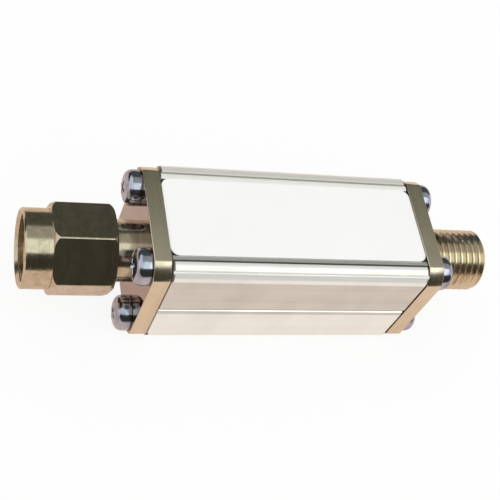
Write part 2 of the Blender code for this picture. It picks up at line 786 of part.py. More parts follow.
def main():
    clear_scene()
    collection(PARTS)
    collection(CUTTERS)

    nickel = material("nickel_plate", (0.62, 0.57, 0.48), 0.18, 1.0)
    aluminium = material("satin_aluminium", (0.80, 0.78, 0.74), 0.38, 1.0)
    steel = material("screw_steel", (0.50, 0.51, 0.55), 0.22, 1.0)
    gold = material("gold_plate", (0.83, 0.62, 0.28), 0.25, 1.0)
    white_film = material("label_film", (0.90, 0.91, 0.90), 0.45)
    white_plastic = material("insulator_plastic", (0.88, 0.87, 0.84), 0.5)
    rubber = material("gasket_rubber", (0.55, 0.12, 0.06), 0.6)
    laminate = material("board_laminate", (0.05, 0.22, 0.10), 0.4)
    ceramic = material("package_ceramic", (0.35, 0.30, 0.26), 0.5)
    chip = material("chip_ceramic", (0.45, 0.33, 0.24), 0.5)
    coil = material("coil_ceramic", (0.10, 0.12, 0.20), 0.5)

    axis = empty("connector_axis", None, (CENTRE_SHIFT, 0, FLANGE_WIDTH / 2))
    plug = empty("plug_axis", axis, (-FLANGE_FACE, 0, 0), (0, -math.pi / 2, 0))
    jack = empty("jack_axis", axis, (FLANGE_FACE, 0, 0), (0, math.pi / 2, 0))

    housing_upper(aluminium, axis)
    housing_lower(aluminium, axis)
    label(white_film, axis)

    plug_body(nickel, plug)
    insulator("male_insulator", REFERENCE_PLANE, white_plastic, plug)
    plug_pin(gold, plug)
    retaining_ring(steel, plug)
    gasket(rubber, plug)
    coupling_nut(nickel, plug)

    jack_body(nickel, jack)
    insulator("female_insulator", BARREL_LENGTH - MOUTH_DEPTH, white_plastic, jack)
    jack_contact(gold, jack)

    flange_screws("male", MALE_CROSS_TURNS, steel, plug)
    flange_screws("female", FEMALE_CROSS_TURNS, steel, jack)

    circuit_board(laminate, axis)
    board_parts(ceramic, chip, coil, axis)


if __name__ == "__main__":
    main()
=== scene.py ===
"""Looks of an in-line coaxial bandpass filter: an extruded box between a plug and a jack.

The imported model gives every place. The connectors' common axis runs along X, with the plug at -X and the jack
at +X, and the label faces +Z. Everything is in metres.
"""

import logging
import math
from dataclasses import dataclass, field
from enum import Enum
from typing import Any, Callable, Iterable, Sequence

import bmesh
import bpy
from mathutils import Matrix, Vector


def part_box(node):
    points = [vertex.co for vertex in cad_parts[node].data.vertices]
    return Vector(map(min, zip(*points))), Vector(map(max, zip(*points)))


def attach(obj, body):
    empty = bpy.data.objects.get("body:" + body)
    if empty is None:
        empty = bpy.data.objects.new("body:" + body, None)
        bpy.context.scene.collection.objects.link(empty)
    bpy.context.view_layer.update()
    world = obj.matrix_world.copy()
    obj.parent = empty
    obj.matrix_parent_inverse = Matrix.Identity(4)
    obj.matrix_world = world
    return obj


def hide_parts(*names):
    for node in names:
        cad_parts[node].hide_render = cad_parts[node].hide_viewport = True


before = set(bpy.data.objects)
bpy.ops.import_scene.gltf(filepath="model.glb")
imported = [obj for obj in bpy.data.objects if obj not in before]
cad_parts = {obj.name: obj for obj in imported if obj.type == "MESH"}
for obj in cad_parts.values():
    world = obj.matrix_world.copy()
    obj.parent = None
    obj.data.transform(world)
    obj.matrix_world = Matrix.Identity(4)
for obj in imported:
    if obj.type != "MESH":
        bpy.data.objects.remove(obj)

Point = tuple[float, float]
Range = tuple[float, float]
Color = tuple[float, float, float]
Piece = bpy.types.Object

LOG = logging.getLogger("bandpass_filter")
FILTER_BODY = "filter"
NUT_BODY = "nut"
NUMBER_SOCKET = "NodeSocketFloat"
VECTOR_SOCKET = "NodeSocketVector"

# Points closer than this are merged, and places within it count as one.
WELD = 1e-6
# The small square that a drawn line starts from, before it is merged to a point.
PEN_SIZE = 1e-4
# Sides of large and small turned forms, and of one turn of a thread.
ROUND_STEPS = 128
SMALL_ROUND_STEPS = 64
THREAD_STEPS = 72
# Faces that meet at less than the first are shaded as one. Edges that turn more than the second are broken.
SMOOTH_ANGLE = math.radians(32)
SHARP_ANGLE = math.radians(38)
# A face whose normal points more than this along the connectors' axis is flat on the flange.
FLAT_NORMAL = 0.95


class Joining(Enum):
    """How one solid changes another."""

    ADD = "UNION"
    CUT = "DIFFERENCE"
    KEEP_COMMON = "INTERSECT"


class Grain(Enum):
    """Which way the fine lines of a metal surface run."""

    TURNED = "rings about the connectors' axis"
    DRAWN = "straight lines along the connectors' axis"
    EDGED = "straight lines across the connectors' axis"


class ShellFace(Enum):
    """Which of the housing's materials a face has, by its place in the list of materials. After the satin
    finish come copies of it that paint light and shade: a lighter one, a lighter and smoother one, and a dark
    one.
    """

    SATIN = 0
    # Painted light: a lighter copy of the satin finish, on the lower half, the corners and the far recess
    # slope.
    BRIGHT = 1
    # Painted highlight: a lighter copy on the seam's bead, which is also smoother.
    BURNISHED = 2
    # Painted shade: a dark copy, on the corners' end breaks and in the near crest line.
    SHADED = 3


class ConnectorFace(Enum):
    """Which of the connectors' materials a face has, by its place in the list of materials. They are copies of
    one nickel: the lighter ones paint light, and the darker, pinker one paints shade and the reflection of the
    shaded floor.
    """

    # Painted light: a lighter copy of the nickel on the flange's edges, with lines across the axis.
    EDGED = 0
    TURNED = 1
    # Painted shade and reflection: a darker, pinker copy on the flange's flat faces, which are also smoother.
    FACED = 2
    # Painted light: a lighter copy of the nickel on the jack's threaded barrel.
    THREADED = 3


def deselect() -> None:
    """Deselect every object, because an operator acts on all that is selected."""
    bpy.ops.object.select_all(action="DESELECT")


def take(piece: Piece) -> None:
    """Make this piece the only selected one.

    Args:
        piece: the object to work on.
    """
    deselect()
    piece.select_set(True)
    bpy.context.view_layer.objects.active = piece


def open_edit(piece: Piece) -> None:
    """Enter edit mode on this piece with all of it selected.

    Args:
        piece: the object to work on.
    """
    take(piece)
    bpy.ops.object.mode_set(mode="EDIT")
    bpy.ops.mesh.select_mode(type="VERT")
    bpy.ops.mesh.select_all(action="SELECT")


def close_edit() -> None:
    """Go back to object mode."""
    bpy.ops.object.mode_set(mode="OBJECT")


def select_edges(piece: Piece, wanted: Callable[[Vector, Vector], bool]) -> None:
    """Select the edges whose two ends pass a test, in edit mode.

    Args:
        piece: the object in edit mode.
        wanted: takes the two ends of an edge and says whether to select it.
    """
    bpy.ops.mesh.select_all(action="DESELECT")
    bpy.ops.mesh.select_mode(type="EDGE")
    shape = bmesh.from_edit_mesh(piece.data)
    for edge in shape.edges:
        edge.select_set(wanted(edge.verts[0].co, edge.verts[1].co))
    shape.select_flush_mode()
    bmesh.update_edit_mesh(piece.data)


def draw_line(points: Sequence[Vector]) -> Piece:
    """Draw joined edges by extruding one corner from point to point, and stay in edit mode.

    Args:
        points: the line's points in order. A closed line ends with its first point.

    Returns:
        The new object, in edit mode, with its doubled points merged.
    """
    deselect()
    bpy.ops.mesh.primitive_plane_add(size=PEN_SIZE)
    line = bpy.context.object
    open_edit(line)
    bpy.ops.mesh.merge(type="CENTER")
    bpy.ops.transform.translate(value=points[0])
    for here, there in zip(points, points[1:]):
        bpy.ops.mesh.extrude_region_move(TRANSFORM_OT_translate={"value": there - here})
    bpy.ops.mesh.select_all(action="SELECT")
    bpy.ops.mesh.remove_doubles(threshold=WELD)
    return line


def turn(profile: Sequence[Point], steps: int = ROUND_STEPS, closed: bool = False) -> Piece:
    """Make a turned piece about its own Z.

    Args:
        profile: points of radius and height. An open profile starts and ends on the axis.
        steps: how many sides the turned form has.
        closed: joins the last point to the first, for a ring.

    Returns:
        The turned solid, in object mode.
    """
    points = [Vector((radius, 0, height)) for radius, height in profile]
    if closed:
        points.append(points[0])
    piece = draw_line(points)
    bpy.ops.mesh.spin(steps=steps, angle=math.tau, center=(0, 0, 0), axis=(0, 0, 1))
    bpy.ops.mesh.select_all(action="SELECT")
    bpy.ops.mesh.remove_doubles(threshold=WELD)
    bpy.ops.mesh.normals_make_consistent(inside=False)
    close_edit()
    return piece


def extrude_outline(outline: Sequence[Point], low: float, high: float) -> Piece:
    """Make a plate or bar of one outline.

    Args:
        outline: points in X and Y.
        low: height of its lower face.
        high: height of its upper face.

    Returns:
        The solid, in object mode.
    """
    points = [Vector((x, y, low)) for x, y in (*outline, outline[0])]
    piece = draw_line(points)
    bpy.ops.mesh.edge_face_add()
    bpy.ops.mesh.extrude_region_move(TRANSFORM_OT_translate={"value": (0, 0, high - low)})
    bpy.ops.mesh.select_all(action="SELECT")
    bpy.ops.mesh.normals_make_consistent(inside=False)
    close_edit()
    return piece


def on_arc(centre: Point, radius: float, degrees: float) -> Point:
    """Return the point of a circle at this angle."""
    angle = math.radians(degrees)
    return (centre[0] + radius * math.cos(angle), centre[1] + radius * math.sin(angle))


def arc(centre: Point, radius: float, start: float, stop: float, steps: int) -> list[Point]:
    """Return the points along an arc, with its angles in degrees."""
    return [on_arc(centre, radius, start + (stop - start) * step / steps) for step in range(steps + 1)]


def combine(piece: Piece, tool: Piece, joining: Joining) -> None:
    """Add, cut or intersect with another solid, which is used up.

    Args:
        piece: the solid that stays.
        tool: the solid that changes it and is then removed.
        joining: what is done.
    """
    take(piece)
    bpy.ops.object.modifier_add(type="BOOLEAN")
    step = piece.modifiers[-1]
    step.operation = joining.value
    step.solver = "EXACT"
    step.object = tool
    bpy.ops.object.modifier_apply(modifier=step.name)
    bpy.data.objects.remove(tool, do_unlink=True)


def break_edges(piece: Piece, width: float, segments: int = 2, angle: float = SHARP_ANGLE) -> None:
    """Round every sharp edge a little, as deburring and plating leave it.

    Args:
        piece: the solid to work on.
        width: how wide the rounding is.
        segments: how many strips it has.
        angle: an edge that turns less than this stays as it is.
    """
    take(piece)
    bpy.ops.object.modifier_add(type="BEVEL")
    step = piece.modifiers[-1]
    step.limit_method = "ANGLE"
    step.angle_limit = angle
    step.width = width
    step.segments = segments
    step.harden_normals = False
    bpy.ops.object.modifier_apply(modifier=step.name)


def copy_of(piece: Piece) -> Piece:
    """Copy a piece, with a mesh of its own.

    Args:
        piece: the object to copy.

    Returns:
        The copy, in the scene.
    """
    copy = piece.copy()
    copy.data = piece.data.copy()
    bpy.context.scene.collection.objects.link(copy)
    return copy


def settle(piece: Piece, name: str, place: Matrix, smooth: float = SMOOTH_ANGLE) -> None:
    """Name a piece, put its place into its mesh and shade it.

    Args:
        piece: the finished solid.
        name: its name.
        place: the matrix that takes it to its place in the part's frame.
        smooth: faces that meet at less than this angle are shaded as one surface.
    """
    piece.name = name
    piece.data.name = name
    piece.matrix_world = place
    take(piece)
    bpy.ops.object.transform_apply(location=True, rotation=True, scale=True)
    bpy.ops.object.shade_smooth_by_angle(angle=smooth)
    bpy.ops.object.modifier_add(type="WEIGHTED_NORMAL")
    step = piece.modifiers[-1]
    step.keep_sharp = True
    bpy.ops.object.modifier_apply(modifier=step.name)


def dress(
    piece: Piece, body: str, materials: Iterable[bpy.types.Material], nodes: Iterable[str] = ()
) -> None:
    """Give a piece its materials, parent it to the body that it moves with, and hide the CAD nodes that it
    replaces.

    Args:
        piece: the settled piece.
        body: the body that it moves with.
        materials: its materials, in the order of its faces' indices.
        nodes: the CAD nodes that it replaces.
    """
    for material in materials:
        piece.data.materials.append(material)
    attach(piece, body)
    if nodes:
        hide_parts(*nodes)


class Sheet:
    """A node tree that nodes are added to and linked in."""

    def __init__(self, tree: bpy.types.NodeTree) -> None:
        """Take the tree over."""
        self.tree = tree

    def add(self, kind: str, settings: dict[str, Any] | None = None, **inputs: Any) -> bpy.types.Node:
        """Add a node.

        Args:
            kind: its type's name.
            settings: its own properties.
            **inputs: values or sockets for its inputs, by their names with spaces as underscores.

        Returns:
            The new node.
        """
        node = self.tree.nodes.new(kind)
        for name, value in (settings or {}).items():
            setattr(node, name, value)
        for name, value in inputs.items():
            self.feed(node.inputs[name.replace("_", " ")], value)
        return node

    def feed(self, socket: bpy.types.NodeSocket, value: Any) -> None:
        """Set a socket to a value, or link another socket to it.

        Args:
            socket: the input.
            value: a value, or the socket that feeds the input.
        """
        if isinstance(value, bpy.types.NodeSocket):
            self.tree.links.new(value, socket)
        else:
            socket.default_value = value

    def maths(self, operation: str, first: Any, second: Any = 0.0) -> bpy.types.NodeSocket:
        """Do a sum on two values or sockets.

        Args:
            operation: the sum, by Blender's name for it.
            first: a value or socket.
            second: a value or socket.

        Returns:
            The socket of the result.
        """
        node = self.add("ShaderNodeMath", {"operation": operation})
        self.feed(node.inputs[0], first)
        self.feed(node.inputs[1], second)
        return node.outputs[0]

    def spread(
        self, value: Any, low: float, high: float, start: float = 0.0, stop: float = 1.0
    ) -> bpy.types.NodeSocket:
        """Spread a value from start to stop over low to high.

        Args:
            value: a value or socket.
            low: the result at the start.
            high: the result at the stop.
            start: the value that gives the lowest result.
            stop: the value that gives the highest result.

        Returns:
            The socket of the result.
        """
        node = self.add("ShaderNodeMapRange", Value=value)
        for socket, number in zip(("From Min", "From Max", "To Min", "To Max"), (start, stop, low, high)):
            node.inputs[socket].default_value = number
        return node.outputs["Result"]

    def blend(self, share: Any, first: Any, second: Any) -> bpy.types.NodeSocket:
        """Mix two colours.

        Args:
            share: how much of the second colour there is.
            first: a colour or socket.
            second: a colour or socket.

        Returns:
            The socket of the colour.
        """
        node = self.add("ShaderNodeMix", {"data_type": "RGBA"})
        self.feed(node.inputs["Factor"], share)
        self.feed(node.inputs[6], first)
        self.feed(node.inputs[7], second)
        return node.outputs[2]


def opaque(color: Color) -> tuple[float, float, float, float]:
    """Return a colour with full cover."""
    return (*color, 1.0)


def around(middle: float, reach: float) -> Range:
    """Return the range that reaches this far to both sides of its middle."""
    return (middle - reach, middle + reach)


class Effects:
    """The shader node groups that several finishes share.

    ROUND_RINGS is how fast the rings of a turned surface change on their way round. The bands' scales draw
    the noise of the lines broader. The ranges are the parts of the noise that smudges and specks show.
    """

    ROUND_RINGS = 260.0
    TURNED_BANDS = 0.13
    STRAIGHT_BANDS = 0.11
    SMUDGE_RANGE = (0.38, 0.68)
    SPECK_RANGE = (0.04, 0.14)

    def __init__(self) -> None:
        """Build each group once."""
        self.turned = self._turned_lines()
        self.straight = self._straight_lines()
        self.handling = self._handling()

    @staticmethod
    def _group(
        name: str, inputs: dict[str, str], outputs: Sequence[str]
    ) -> tuple[bpy.types.NodeTree, Sheet, Any, Any]:
        """Make an empty group.

        Args:
            name: the group's name.
            inputs: its inputs' names, each with its socket type.
            outputs: the names of its outputs, which are all numbers.

        Returns:
            The group, a sheet over it, its inputs' sockets and its outputs' sockets.
        """
        group = bpy.data.node_groups.new(name, "ShaderNodeTree")
        for socket, kind in inputs.items():
            group.interface.new_socket(name=socket, in_out="INPUT", socket_type=kind)
        for socket in outputs:
            group.interface.new_socket(name=socket, in_out="OUTPUT", socket_type=NUMBER_SOCKET)
        sheet = Sheet(group)
        source = sheet.add("NodeGroupInput")
        target = sheet.add("NodeGroupOutput")
        return group, sheet, source.outputs, target.inputs

    def _turned_lines(self) -> bpy.types.NodeTree:
        """Draw fine rings round the X axis: along X on a cylinder, and by radius on an end face.

        Returns:
            The group: Vector and Density in, Lines and Bands out.
        """
        kinds = {"Vector": VECTOR_SOCKET, "Density": NUMBER_SOCKET}
        group, sheet, source, target = self._group("turned_rings", kinds, ("Lines", "Bands"))
        parts = sheet.add("ShaderNodeSeparateXYZ", Vector=source["Vector"])
        flat = sheet.add("ShaderNodeCombineXYZ", X=0.0, Y=parts.outputs["Y"], Z=parts.outputs["Z"])
        radius = sheet.add("ShaderNodeVectorMath", {"operation": "LENGTH"}, Vector=flat.outputs[0])
        along = sheet.maths("ADD", parts.outputs["X"], radius.outputs["Value"])
        step = sheet.maths("MULTIPLY", along, source["Density"])
        slow_y = sheet.maths("MULTIPLY", parts.outputs["Y"], self.ROUND_RINGS)
        slow_z = sheet.maths("MULTIPLY", parts.outputs["Z"], self.ROUND_RINGS)
        place = sheet.add("ShaderNodeCombineXYZ", X=step, Y=slow_y, Z=slow_z)
        fine = sheet.add("ShaderNodeTexNoise", Vector=place.outputs[0], Scale=1.0, Detail=3.0, Roughness=0.6)
        bands = {"Scale": self.TURNED_BANDS, "Detail": 2.0}
        broad = sheet.add("ShaderNodeTexNoise", Vector=place.outputs[0], **bands)
        sheet.feed(target["Lines"], fine.outputs["Fac"])
        sheet.feed(target["Bands"], broad.outputs["Fac"])
        return group

    def _straight_lines(self) -> bpy.types.NodeTree:
        """Draw fine straight lines, long one way and close together the others.

        Returns:
            The group: Vector and Density in, Lines and Bands out.
        """
        kinds = {"Vector": VECTOR_SOCKET, "Density": VECTOR_SOCKET}
        group, sheet, source, target = self._group("straight_lines", kinds, ("Lines", "Bands"))
        place = sheet.add("ShaderNodeVectorMath", {"operation": "MULTIPLY"})
        sheet.feed(place.inputs[0], source["Vector"])
        sheet.feed(place.inputs[1], source["Density"])
        fine = sheet.add("ShaderNodeTexNoise", Vector=place.outputs[0], Scale=1.0, Detail=4.0, Roughness=0.65)
        bands = {"Scale": self.STRAIGHT_BANDS, "Detail": 2.0}
        broad = sheet.add("ShaderNodeTexNoise", Vector=place.outputs[0], **bands)
        sheet.feed(target["Lines"], fine.outputs["Fac"])
        sheet.feed(target["Bands"], broad.outputs["Fac"])
        return group

    def _handling(self) -> bpy.types.NodeTree:
        """Draw soft smudges, and small pits or specks of dust.

        Returns:
            The group: Vector and both sizes in, Smudges and Specks out.
        """
        kinds = {"Vector": VECTOR_SOCKET, "Smudge Size": NUMBER_SOCKET, "Speck Size": NUMBER_SOCKET}
        group, sheet, source, target = self._group("handling_marks", kinds, ("Smudges", "Specks"))
        smudge_scale = sheet.maths("DIVIDE", 1.0, source["Smudge Size"])
        speck_scale = sheet.maths("DIVIDE", 1.0, source["Speck Size"])
        smudge = sheet.add(
            "ShaderNodeTexNoise", Vector=source["Vector"], Scale=smudge_scale, Detail=4.0, Distortion=0.6
        )
        speck = sheet.add("ShaderNodeTexVoronoi", Vector=source["Vector"], Scale=speck_scale)
        sheet.feed(target["Smudges"], sheet.spread(smudge.outputs["Fac"], 0.0, 1.0, *self.SMUDGE_RANGE))
        sheet.feed(target["Specks"], sheet.spread(speck.outputs["Distance"], 1.0, 0.0, *self.SPECK_RANGE))
        return group


@dataclass(frozen=True)
class Metal:
    """A metal finish with fine lines, smudges and small pits.

    The density is about how many lines a metre has. The ranges are the parts of the noise that lines and
    bands show, and long_way is the density along the lines as a share of that across them.
    """

    name: str
    color: Color
    stain: Color
    roughness: float
    roughness_spread: float
    grain: Grain
    density: float
    depth: float
    smudge_size: float = 0.0035
    speck_size: float = 0.0004
    speck_depth: float = 0.3
    stain_share: float = 0.35
    metallic: float = 1.0
    line_range: Range = (0.3, 0.7)
    band_range: Range = (0.45, 0.7)
    band_share: float = 0.3
    long_way: float = 0.012

    def build(self, effects: Effects, axis_height: float) -> bpy.types.Material:
        """Make the material.

        Args:
            effects: the shared node groups.
            axis_height: height of the connectors' axis, about which turned lines run.

        Returns:
            The material.
        """
        material = bpy.data.materials.new(self.name)
        material.use_nodes = True
        sheet = Sheet(material.node_tree)
        shader = material.node_tree.nodes["Principled BSDF"]
        where = sheet.add("ShaderNodeTexCoord").outputs["Object"]
        centred = sheet.add("ShaderNodeMapping", Vector=where)
        centred.inputs["Location"].default_value = (0, 0, -axis_height)
        lines = sheet.add("ShaderNodeGroup", {"node_tree": self._lines(effects)})
        sheet.feed(lines.inputs["Vector"], centred.outputs[0])
        lines.inputs["Density"].default_value = self._density()
        marks = sheet.add("ShaderNodeGroup", {"node_tree": effects.handling}, Vector=where)
        marks.inputs["Smudge Size"].default_value = self.smudge_size
        marks.inputs["Speck Size"].default_value = self.speck_size

        stained = sheet.maths("MULTIPLY", marks.outputs["Smudges"], self.stain_share)
        banded = sheet.spread(lines.outputs["Bands"], 0.0, self.band_share, *self.band_range)
        tint = sheet.maths("ADD", stained, banded)
        sheet.feed(shader.inputs["Base Color"], sheet.blend(tint, opaque(self.color), opaque(self.stain)))
        spread = around(self.roughness, self.roughness_spread)
        rough = sheet.spread(lines.outputs["Lines"], *spread, *self.line_range)
        dulled = sheet.maths("MULTIPLY", marks.outputs["Smudges"], self.roughness_spread)
        sheet.feed(shader.inputs["Roughness"], sheet.maths("ADD", rough, dulled))
        pits = sheet.maths("MULTIPLY", marks.outputs["Specks"], self.speck_depth)
        height = sheet.maths("SUBTRACT", lines.outputs["Lines"], pits)
        bump = sheet.add("ShaderNodeBump", Height=height, Distance=self.depth, Strength=1.0)
        sheet.feed(shader.inputs["Normal"], bump.outputs[0])
        shader.inputs["Metallic"].default_value = self.metallic
        material.diffuse_color = opaque(self.color)
        return material

    def _lines(self, effects: Effects) -> bpy.types.NodeTree:
        """Return the group that draws this finish's lines."""
        return effects.turned if self.grain is Grain.TURNED else effects.straight

    def _density(self) -> float | tuple[float, float, float]:
        """Tell how close the lines lie, as their group takes it.

        Returns:
            One number for turned lines, or one for each axis for straight ones.
        """
        long_way = self.density * self.long_way
        if self.grain is Grain.TURNED:
            return self.density
        if self.grain is Grain.DRAWN:
            return (long_way, self.density, self.density)
        return (self.density, long_way, long_way)


@dataclass(frozen=True)
class Solid:
    """A finish that isn't metal: plastic, paper, rubber, laminate or ceramic."""

    name: str
    color: Color
    shade: Color
    roughness: float
    grain_size: float
    depth: float
    roughness_spread: float = 0.08
    smudge_size: float = 0.004
    sheen_through: float = 0.0
    coat: float = 0.0
    smudge_share: float = 0.5
    grain_share: float = 0.35
    grain_range: Range = (0.4, 0.75)
    specks_to_grain: float = 6
    light_reach: float = 0.0006

    def build(self, effects: Effects) -> bpy.types.Material:
        """Make the material.

        Args:
            effects: the shared node groups.

        Returns:
            The material.
        """
        material = bpy.data.materials.new(self.name)
        material.use_nodes = True
        sheet = Sheet(material.node_tree)
        shader = material.node_tree.nodes["Principled BSDF"]
        where = sheet.add("ShaderNodeTexCoord").outputs["Object"]
        marks = sheet.add("ShaderNodeGroup", {"node_tree": effects.handling}, Vector=where)
        marks.inputs["Smudge Size"].default_value = self.smudge_size
        marks.inputs["Speck Size"].default_value = self.grain_size * self.specks_to_grain
        scale = 1 / self.grain_size
        grain = sheet.add("ShaderNodeTexNoise", Vector=where, Scale=scale, Detail=5.0, Roughness=0.6)
        grains = sheet.spread(grain.outputs["Fac"], 0.0, self.grain_share, *self.grain_range)
        smudged = sheet.maths("MULTIPLY", marks.outputs["Smudges"], self.smudge_share)
        tint = sheet.maths("ADD", smudged, grains)
        sheet.feed(shader.inputs["Base Color"], sheet.blend(tint, opaque(self.color), opaque(self.shade)))
        rough = sheet.spread(grain.outputs["Fac"], *around(self.roughness, self.roughness_spread))
        sheet.feed(shader.inputs["Roughness"], rough)
        bump = sheet.add("ShaderNodeBump", Height=grain.outputs["Fac"], Distance=self.depth, Strength=1.0)
        sheet.feed(shader.inputs["Normal"], bump.outputs[0])
        shader.inputs["Subsurface Weight"].default_value = self.sheen_through
        shader.inputs["Subsurface Scale"].default_value = self.light_reach
        shader.inputs["Coat Weight"].default_value = self.coat
        material.diffuse_color = opaque(self.color)
        return material


class Finishes:
    """Every material of the part, made once."""

    def __init__(self, axis_height: float) -> None:
        """Build the materials.

        Args:
            axis_height: height of the connectors' axis.
        """
        effects = Effects()
        for name, metal in self._metals().items():
            setattr(self, name, metal.build(effects, axis_height))
        for name, solid in self._solids().items():
            setattr(self, name, solid.build(effects))
        # The connectors' nickel: edges painted lighter, turned, flat faces painted darker, and the thread
        # painted lighter.
        self.connector = [self.nickel_edged, self.nickel_turned, self.nickel_faced, self.nickel_threaded]
        # The housing's satin finish, then its copies that paint light, a highlight and shade.
        self.shell = [self.aluminium, self.aluminium_bright, self.aluminium_burnished, self.aluminium_shaded]

    @staticmethod
    def _metals() -> dict[str, Metal]:
        """List the metal finishes.

        Returns:
            Each finish by the name that the pieces use.
        """
        nickel = (0.64, 0.56, 0.43)
        nickel_stain = (0.42, 0.35, 0.25)
        return {
            "nickel_turned": Metal(
                "nickel_turned", nickel, nickel_stain, 0.16, 0.06,
                Grain.TURNED, 6000.0, 1.4e-6, smudge_size=0.0007, stain_share=0.6,
            ),
            # Painted light: the nickel made lighter for the flange's edges. Its lines across the axis are real.
            "nickel_edged": Metal(
                "nickel_edged", (0.77, 0.69, 0.53), (0.60, 0.53, 0.39), 0.22, 0.05,
                Grain.EDGED, 9000.0, 0.9e-6,
            ),
            # Painted shade and reflection: the nickel made darker and pinker for the flange's flat faces. Its
            # low roughness is their real smoother surface.
            "nickel_faced": Metal(
                "nickel_faced", (0.37, 0.28, 0.25), (0.30, 0.225, 0.20), 0.03, 0.012,
                Grain.TURNED, 4000.0, 0.1e-6,
            ),
            # Painted highlight: the nickel made lighter for the jack's thread, to brighten its highlight.
            "nickel_threaded": Metal(
                "nickel_threaded", (0.78, 0.70, 0.53), (0.58, 0.50, 0.36), 0.20, 0.04,
                Grain.TURNED, 4000.0, 0.3e-6,
            ),
            "aluminium": Metal(
                "satin_aluminium", (0.74, 0.735, 0.69), (0.60, 0.59, 0.54), 0.36, 0.08,
                Grain.DRAWN, 9000.0, 4.5e-6, metallic=0.68,
            ),
            # Painted light: a lighter, less metallic copy of the satin aluminium, for faces painted brighter
            # than the rest.
            "aluminium_bright": Metal(
                "painted_lit_aluminium", (0.96, 0.965, 0.92), (0.84, 0.84, 0.79), 0.34, 0.08,
                Grain.DRAWN, 9000.0, 4.5e-6, metallic=0.45,
            ),
            # Painted highlight: a lighter copy of the aluminium for the seam's bead. Its lower roughness is the
            # bead's own smoother surface.
            "aluminium_burnished": Metal(
                "painted_highlight_aluminium", (0.95, 0.95, 0.90), (0.86, 0.86, 0.81), 0.16, 0.05,
                Grain.DRAWN, 9000.0, 1.5e-6,
            ),
            # Painted shade: a dark copy of the aluminium, for the shade at the joints with the flanges and in
            # the near groove.
            "aluminium_shaded": Metal(
                "painted_shade_aluminium", (0.17, 0.18, 0.165), (0.08, 0.085, 0.08), 0.5, 0.08,
                Grain.DRAWN, 9000.0, 4.5e-6, metallic=0.5,
            ),
            "steel": Metal(
                "screw_steel", (0.52, 0.55, 0.65), (0.28, 0.30, 0.39), 0.15, 0.04,
                Grain.TURNED, 7000.0, 0.8e-6, smudge_size=0.0012, stain_share=0.7,
            ),
            "spring_steel": Metal(
                "spring_steel", (0.52, 0.52, 0.53), (0.38, 0.37, 0.36), 0.25, 0.06,
                Grain.TURNED, 7000.0, 1.5e-6,
            ),
            "gold": Metal(
                "gold_plate", (0.93, 0.70, 0.32), (0.78, 0.52, 0.20), 0.2, 0.06,
                Grain.TURNED, 12000.0, 1.0e-6,
            ),
        }

    @staticmethod
    def _solids() -> dict[str, Solid]:
        """List the other finishes.

        Returns:
            Each finish by the name that the pieces use.
        """
        return {
            "label": Solid("label_film", (0.95, 0.955, 0.95), (0.92, 0.93, 0.93), 0.42, 0.00012, 1.2e-6),
            # Painted shade: a near-black sheet under the label, seen only at the label's rounded corners.
            "adhesive": Solid("label_painted_shade_sheet", (0.02, 0.02, 0.018), (0.035, 0.034, 0.03), 0.6, 0.0001, 3e-6),
            "milky": Solid(
                "milky_plastic", (0.88, 0.87, 0.84), (0.80, 0.79, 0.76), 0.42, 0.0002, 2e-6,
                sheen_through=0.15,
            ),
            "rubber": Solid("gasket_rubber", (0.50, 0.09, 0.045), (0.36, 0.06, 0.03), 0.6, 0.00015, 5e-6),
            "laminate": Solid(
                "board_laminate", (0.03, 0.20, 0.08), (0.02, 0.14, 0.06), 0.35, 0.0003, 4e-6, coat=0.3
            ),
            "package": Solid("package_ceramic", (0.34, 0.30, 0.26), (0.26, 0.22, 0.19), 0.5, 0.0001, 3e-6),
            "chip": Solid("chip_ceramic", (0.46, 0.33, 0.23), (0.36, 0.25, 0.17), 0.5, 0.0001, 3e-6),
            "coil": Solid("coil_ceramic", (0.09, 0.11, 0.20), (0.06, 0.07, 0.13), 0.45, 0.0001, 3e-6),
        }


@dataclass(frozen=True)
class Layout:
    """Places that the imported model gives."""

    axis_height: float
    plug_face: float
    jack_face: float
    housing_start: float
    housing_end: float

    @classmethod
    def from_frame(cls, flange_thickness: float) -> "Layout":
        """Read the places from the CAD nodes.

        Args:
            flange_thickness: thickness of both flanges, which the connectors' heights start on.

        Returns:
            The places.
        """
        plug_low, plug_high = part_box("male_connector_body")
        jack_low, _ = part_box("female_connector_body")
        housing_low, housing_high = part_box("housing_upper")
        return cls(
            axis_height=(plug_low.z + plug_high.z) / 2,
            plug_face=plug_high.x - flange_thickness,
            jack_face=jack_low.x + flange_thickness,
            housing_start=housing_low.x,
            housing_end=housing_high.x,
        )

    def plug(self, turn_degrees: float = 0.0) -> Matrix:
        """Return the matrix from a plug piece's own frame, with Z outwards from the flange's face."""
        turned = Matrix.Rotation(math.radians(turn_degrees), 4, "Z")
        return self._facing(self.plug_face, -math.pi / 2) @ turned

    def jack(self) -> Matrix:
        """Return the matrix from a jack piece's own frame, with Z outwards from the flange's face."""
        return self._facing(self.jack_face, math.pi / 2)

    def section(self, turned_over: bool = False) -> Matrix:
        """Place a section drawn in X and Y, with Z along the part's X.

        Args:
            turned_over: True for the lower half, which is drawn upside down.

        Returns:
            The matrix.
        """
        upright = Matrix(((0, 0, 1, 0), (1, 0, 0, 0), (0, 1, 0, 0), (0, 0, 0, 1)))
        over = Matrix.Rotation(math.pi if turned_over else 0, 4, "X")
        return Matrix.Translation((0, 0, self.axis_height)) @ over @ upright

    def _facing(self, face: float, tilt: float) -> Matrix:
        """Return the matrix that lays Z along the connectors' axis, from this place on it."""
        return Matrix.Translation((face, 0, self.axis_height)) @ Matrix.Rotation(tilt, 4, "Y")


